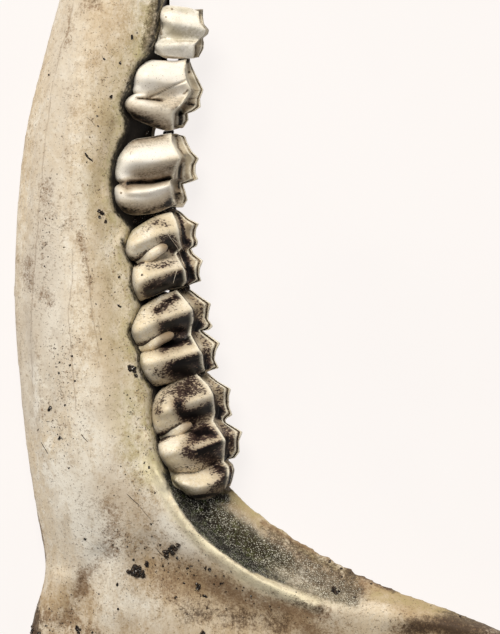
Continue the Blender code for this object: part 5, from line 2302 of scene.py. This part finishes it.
BONE_PAINT = {
    "brown": strokes(
        (14, 0.95, (95, 5)), (7, 0.5, (86, -5), (77, 15), (67, 45)),
        (15, 0.5, (46, 188), (44, 216)), (10, 0.5, (27, 262), (29, 286)),
        (11, 0.5, (42, 290), (50, 302)), (20, 0.45, (104, 508), (116, 517), (108, 545)),
        (9, 0.4, (120, 552), (98, 562), (88, 572)), (14, 0.75, (84, 574), (79, 592), (72, 614)),
        (12, 0.5, (80, 574), (84, 588)), (22, 0.8, (44, 618), (66, 624), (95, 640)),
        (36, 0.42, (170, 575), (270, 612), (340, 634)),
        (18, 0.25, (150, 575), (190, 605), (215, 634)), (16, 0.35, (165, 555), (178, 575)),
        (16, 0.25, (185, 565), (230, 592)),
        (13, 1.0, (212, 584), (250, 598), (290, 606), (325, 614)),
        (8, 0.8, (262, 588), (290, 598), (326, 612)), (20, 0.4, (225, 600), (300, 625)),
        (18, 0.4, (240, 625), (330, 640)), (13, 0.9, (395, 632), (440, 627), (500, 634)),
        (3.5, 0.55, (70, 4), (69, 20), (65, 50)), (9, 0.4, (400, 622), (450, 624)),
        (12, 1.2, (30, 596), (28, 618), (34, 636)), (20, 0.95, (270, 545), (320, 572), (360, 588)),
        (6, 1.0, (262, 522), (300, 545), (345, 565), (390, 588)),
        (10, 0.35, (255, 560), (300, 580), (335, 585)), (5, 0.5, (36, 340), (44, 420)),
        (2.6, 1.0, (29, 468), (34.5, 505), (41, 530), (45.5, 560)), (12, 0.2, (40, 420), (60, 440)),
        (18, 0.2, (110, 30), (100, 90), (112, 120)), (7, 0.6, (80, 235), (86, 262), (91, 288)),
        (9, 0.5, (103, 212)),
    ),
    "umber": strokes(
        (36, 0.45, (100, -30), (105, 60), (104, 130), (100, 200)),
        (22, 0.3, (96, 270), (112, 330), (118, 400)), (30, 0.5, (108, 488), (122, 500), (135, 520)),
        (40, 0.85, (150, 566), (220, 592), (290, 620)), (12, 0.5, (100, 226), (92, 250)),
        (40, 1.0, (420, 634), (520, 650)), (22, 0.6, (240, 588), (300, 612)),
        (40, 0.5, (90, 640), (200, 640), (330, 645)), (34, 0.55, (20, 640), (50, 610), (80, 600)),
        (22, 0.95, (235, 500), (290, 545), (350, 580), (500, 625)),
        (24, 0.6, (410, 618), (520, 640)), (120, 0.5, (260, 690), (400, 720), (560, 740)),
        (30, 0.6, (30, 595), (60, 600), (75, 634)),
    ),
    "calm": strokes((42, 1.0, (80, -20), (60, 100), (46, 250), (48, 400), (62, 560))),
    "warm": strokes(
        (34, 0.7, (100, 0), (110, 120), (105, 300), (118, 420)), (60, 0.8, (200, 600), (420, 640)),
    ),
    "ash": strokes(
        (24, 0.8, (52, 260), (56, 400)), (34, 0.35, (60, 470), (80, 560)),
        (26, 0.8, (80, -20), (60, 80), (42, 220), (32, 330), (36, 420)),
    ),
    "white": strokes(
        (36, 1.0, (52, 470), (78, 520), (100, 555)),
        (30, 0.22, (62, 190), (60, 260), (66, 340), (84, 440)),
        (22, 1.0, (36, 374), (42, 410), (50, 455)), (14, 0.9, (165, 520), (190, 552)),
        (42, 0.8, (84, 430), (104, 500)), (10, 0.8, (142, 425), (158, 468)),
        (20, 0.6, (350, 606), (385, 626)), (12, 0.6, (244, 512), (256, 532)),
        (16, 1.0, (84, 180), (84, 210)), (22, 0.6, (104, 430)), (22, 0.9, (100, 385), (128, 410)),
        (18, 0.5, (52, 300), (56, 380)), (26, 0.4, (112, 590), (125, 615)),
    ),
    "dust": strokes((27, 0.95, (226, 514), (262, 549), (300, 574), (350, 594))),
    # Soil smears, and painted shade beside the left edges of the first three cheek teeth.
    "soiled_and_shaded": strokes(
        (9, 0.62, (264, 588), (292, 600), (326, 612)), (8, 0.42, (222, 572), (250, 590)),
        (15, 1.0, (30, 598), (28, 618), (36, 636)), (12, 0.4, (44, 624), (70, 630)),
        (9, 0.45, (80, 576), (78, 592)), (8, 0.75, (95, 4)),
        (20, 0.95, (408, 628), (440, 624), (500, 630)),
        (5, 0.65, (262, 528), (300, 550), (345, 569), (395, 592)),
        (2.2, 0.8, (29, 468), (34.5, 505), (41, 530), (45.5, 560)), (6, 0.6, (138, 222)),
        (22, 1.0, (276, 552), (310, 574), (352, 594)), (26, 0.7, (190, 612), (280, 624)),
        (16, 0.9, (32, 604), (30, 640)), (20, 1.3, (452, 622), (510, 634)),
        (8, 0.75, (262, 570), (290, 584), (322, 596), (350, 603)),
        (12, 0.75, (272, 533), (305, 556), (350, 578)), (15, 1.0, (157, -8), (153, 20), (147, 48)),
        (11, 0.4, (133, 62), (126, 80), (120, 98), (119, 112), (123, 132)),
        (9, 0.45, (118, 140), (111, 162), (109, 190), (112, 208)), (9, 0.35, (54, 222), (62, 228)),
    ),
    "specks": strokes(
        (12, 1.0, (46, 185), (43, 222)), (7, 1.0, (27, 262), (29, 290)),
        (9, 1.0, (42, 290), (50, 302)), (9, 1.0, (47, 230), (66, 222)),
        (8, 1.0, (82, 240), (90, 280)), (34, 0.9, (65, 350), (62, 430)),
        (60, 0.9, (120, 540), (200, 600)), (40, 0.7, (110, 60), (120, 300)),
        (50, 0.7, (300, 610), (480, 640)), (18, 0.8, (45, 180), (40, 300)),
        (22, 0.8, (135, 400), (140, 500)), (50, 0.7, (60, 600), (100, 640)),
        (90, 0.3, (70, 0), (60, 640)),
    ),
}


def main() -> None:
    """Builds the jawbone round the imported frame, with its studio."""
    logging.basicConfig(level=logging.INFO, format="%(name)s: %(message)s")
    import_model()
    Studio().build()
    bone = Jawbone().build()
    enamel = EnamelFinish().material()
    teeth = [CheekTooth(shape, enamel).build() for shape in CHEEK_TEETH]
    ground = Ground(bone, *teeth)
    soil = Soil(ground).build()
    Rootlets("dark_rootlets", ROOTLETS, ground, soil.data.materials[0]).build()
    Rootlets("pale_hairs", HAIRS, ground, bone.data.materials[0]).build()
    for front_tooth in (
        FrontTooth("incisor_one", "tooth_i1", (-4.3, 108.0, 4.2), 0.0, 7.4, 15.5, enamel),
        FrontTooth("incisor_two", "tooth_i2", (-4.4, 107.6, 8.2), 15.0, 5.6, 14.5, enamel),
        FrontTooth("incisor_three", "tooth_i3", (-4.7, 106.6, 11.6), 27.0, 4.6, 13.2, enamel),
        FrontTooth("canine", "tooth_canine", (-5.2, 104.8, 14.1), 42.0, 3.9, 11.6, enamel),
    ):
        front_tooth.build()


if __name__ == "__main__":
    main()
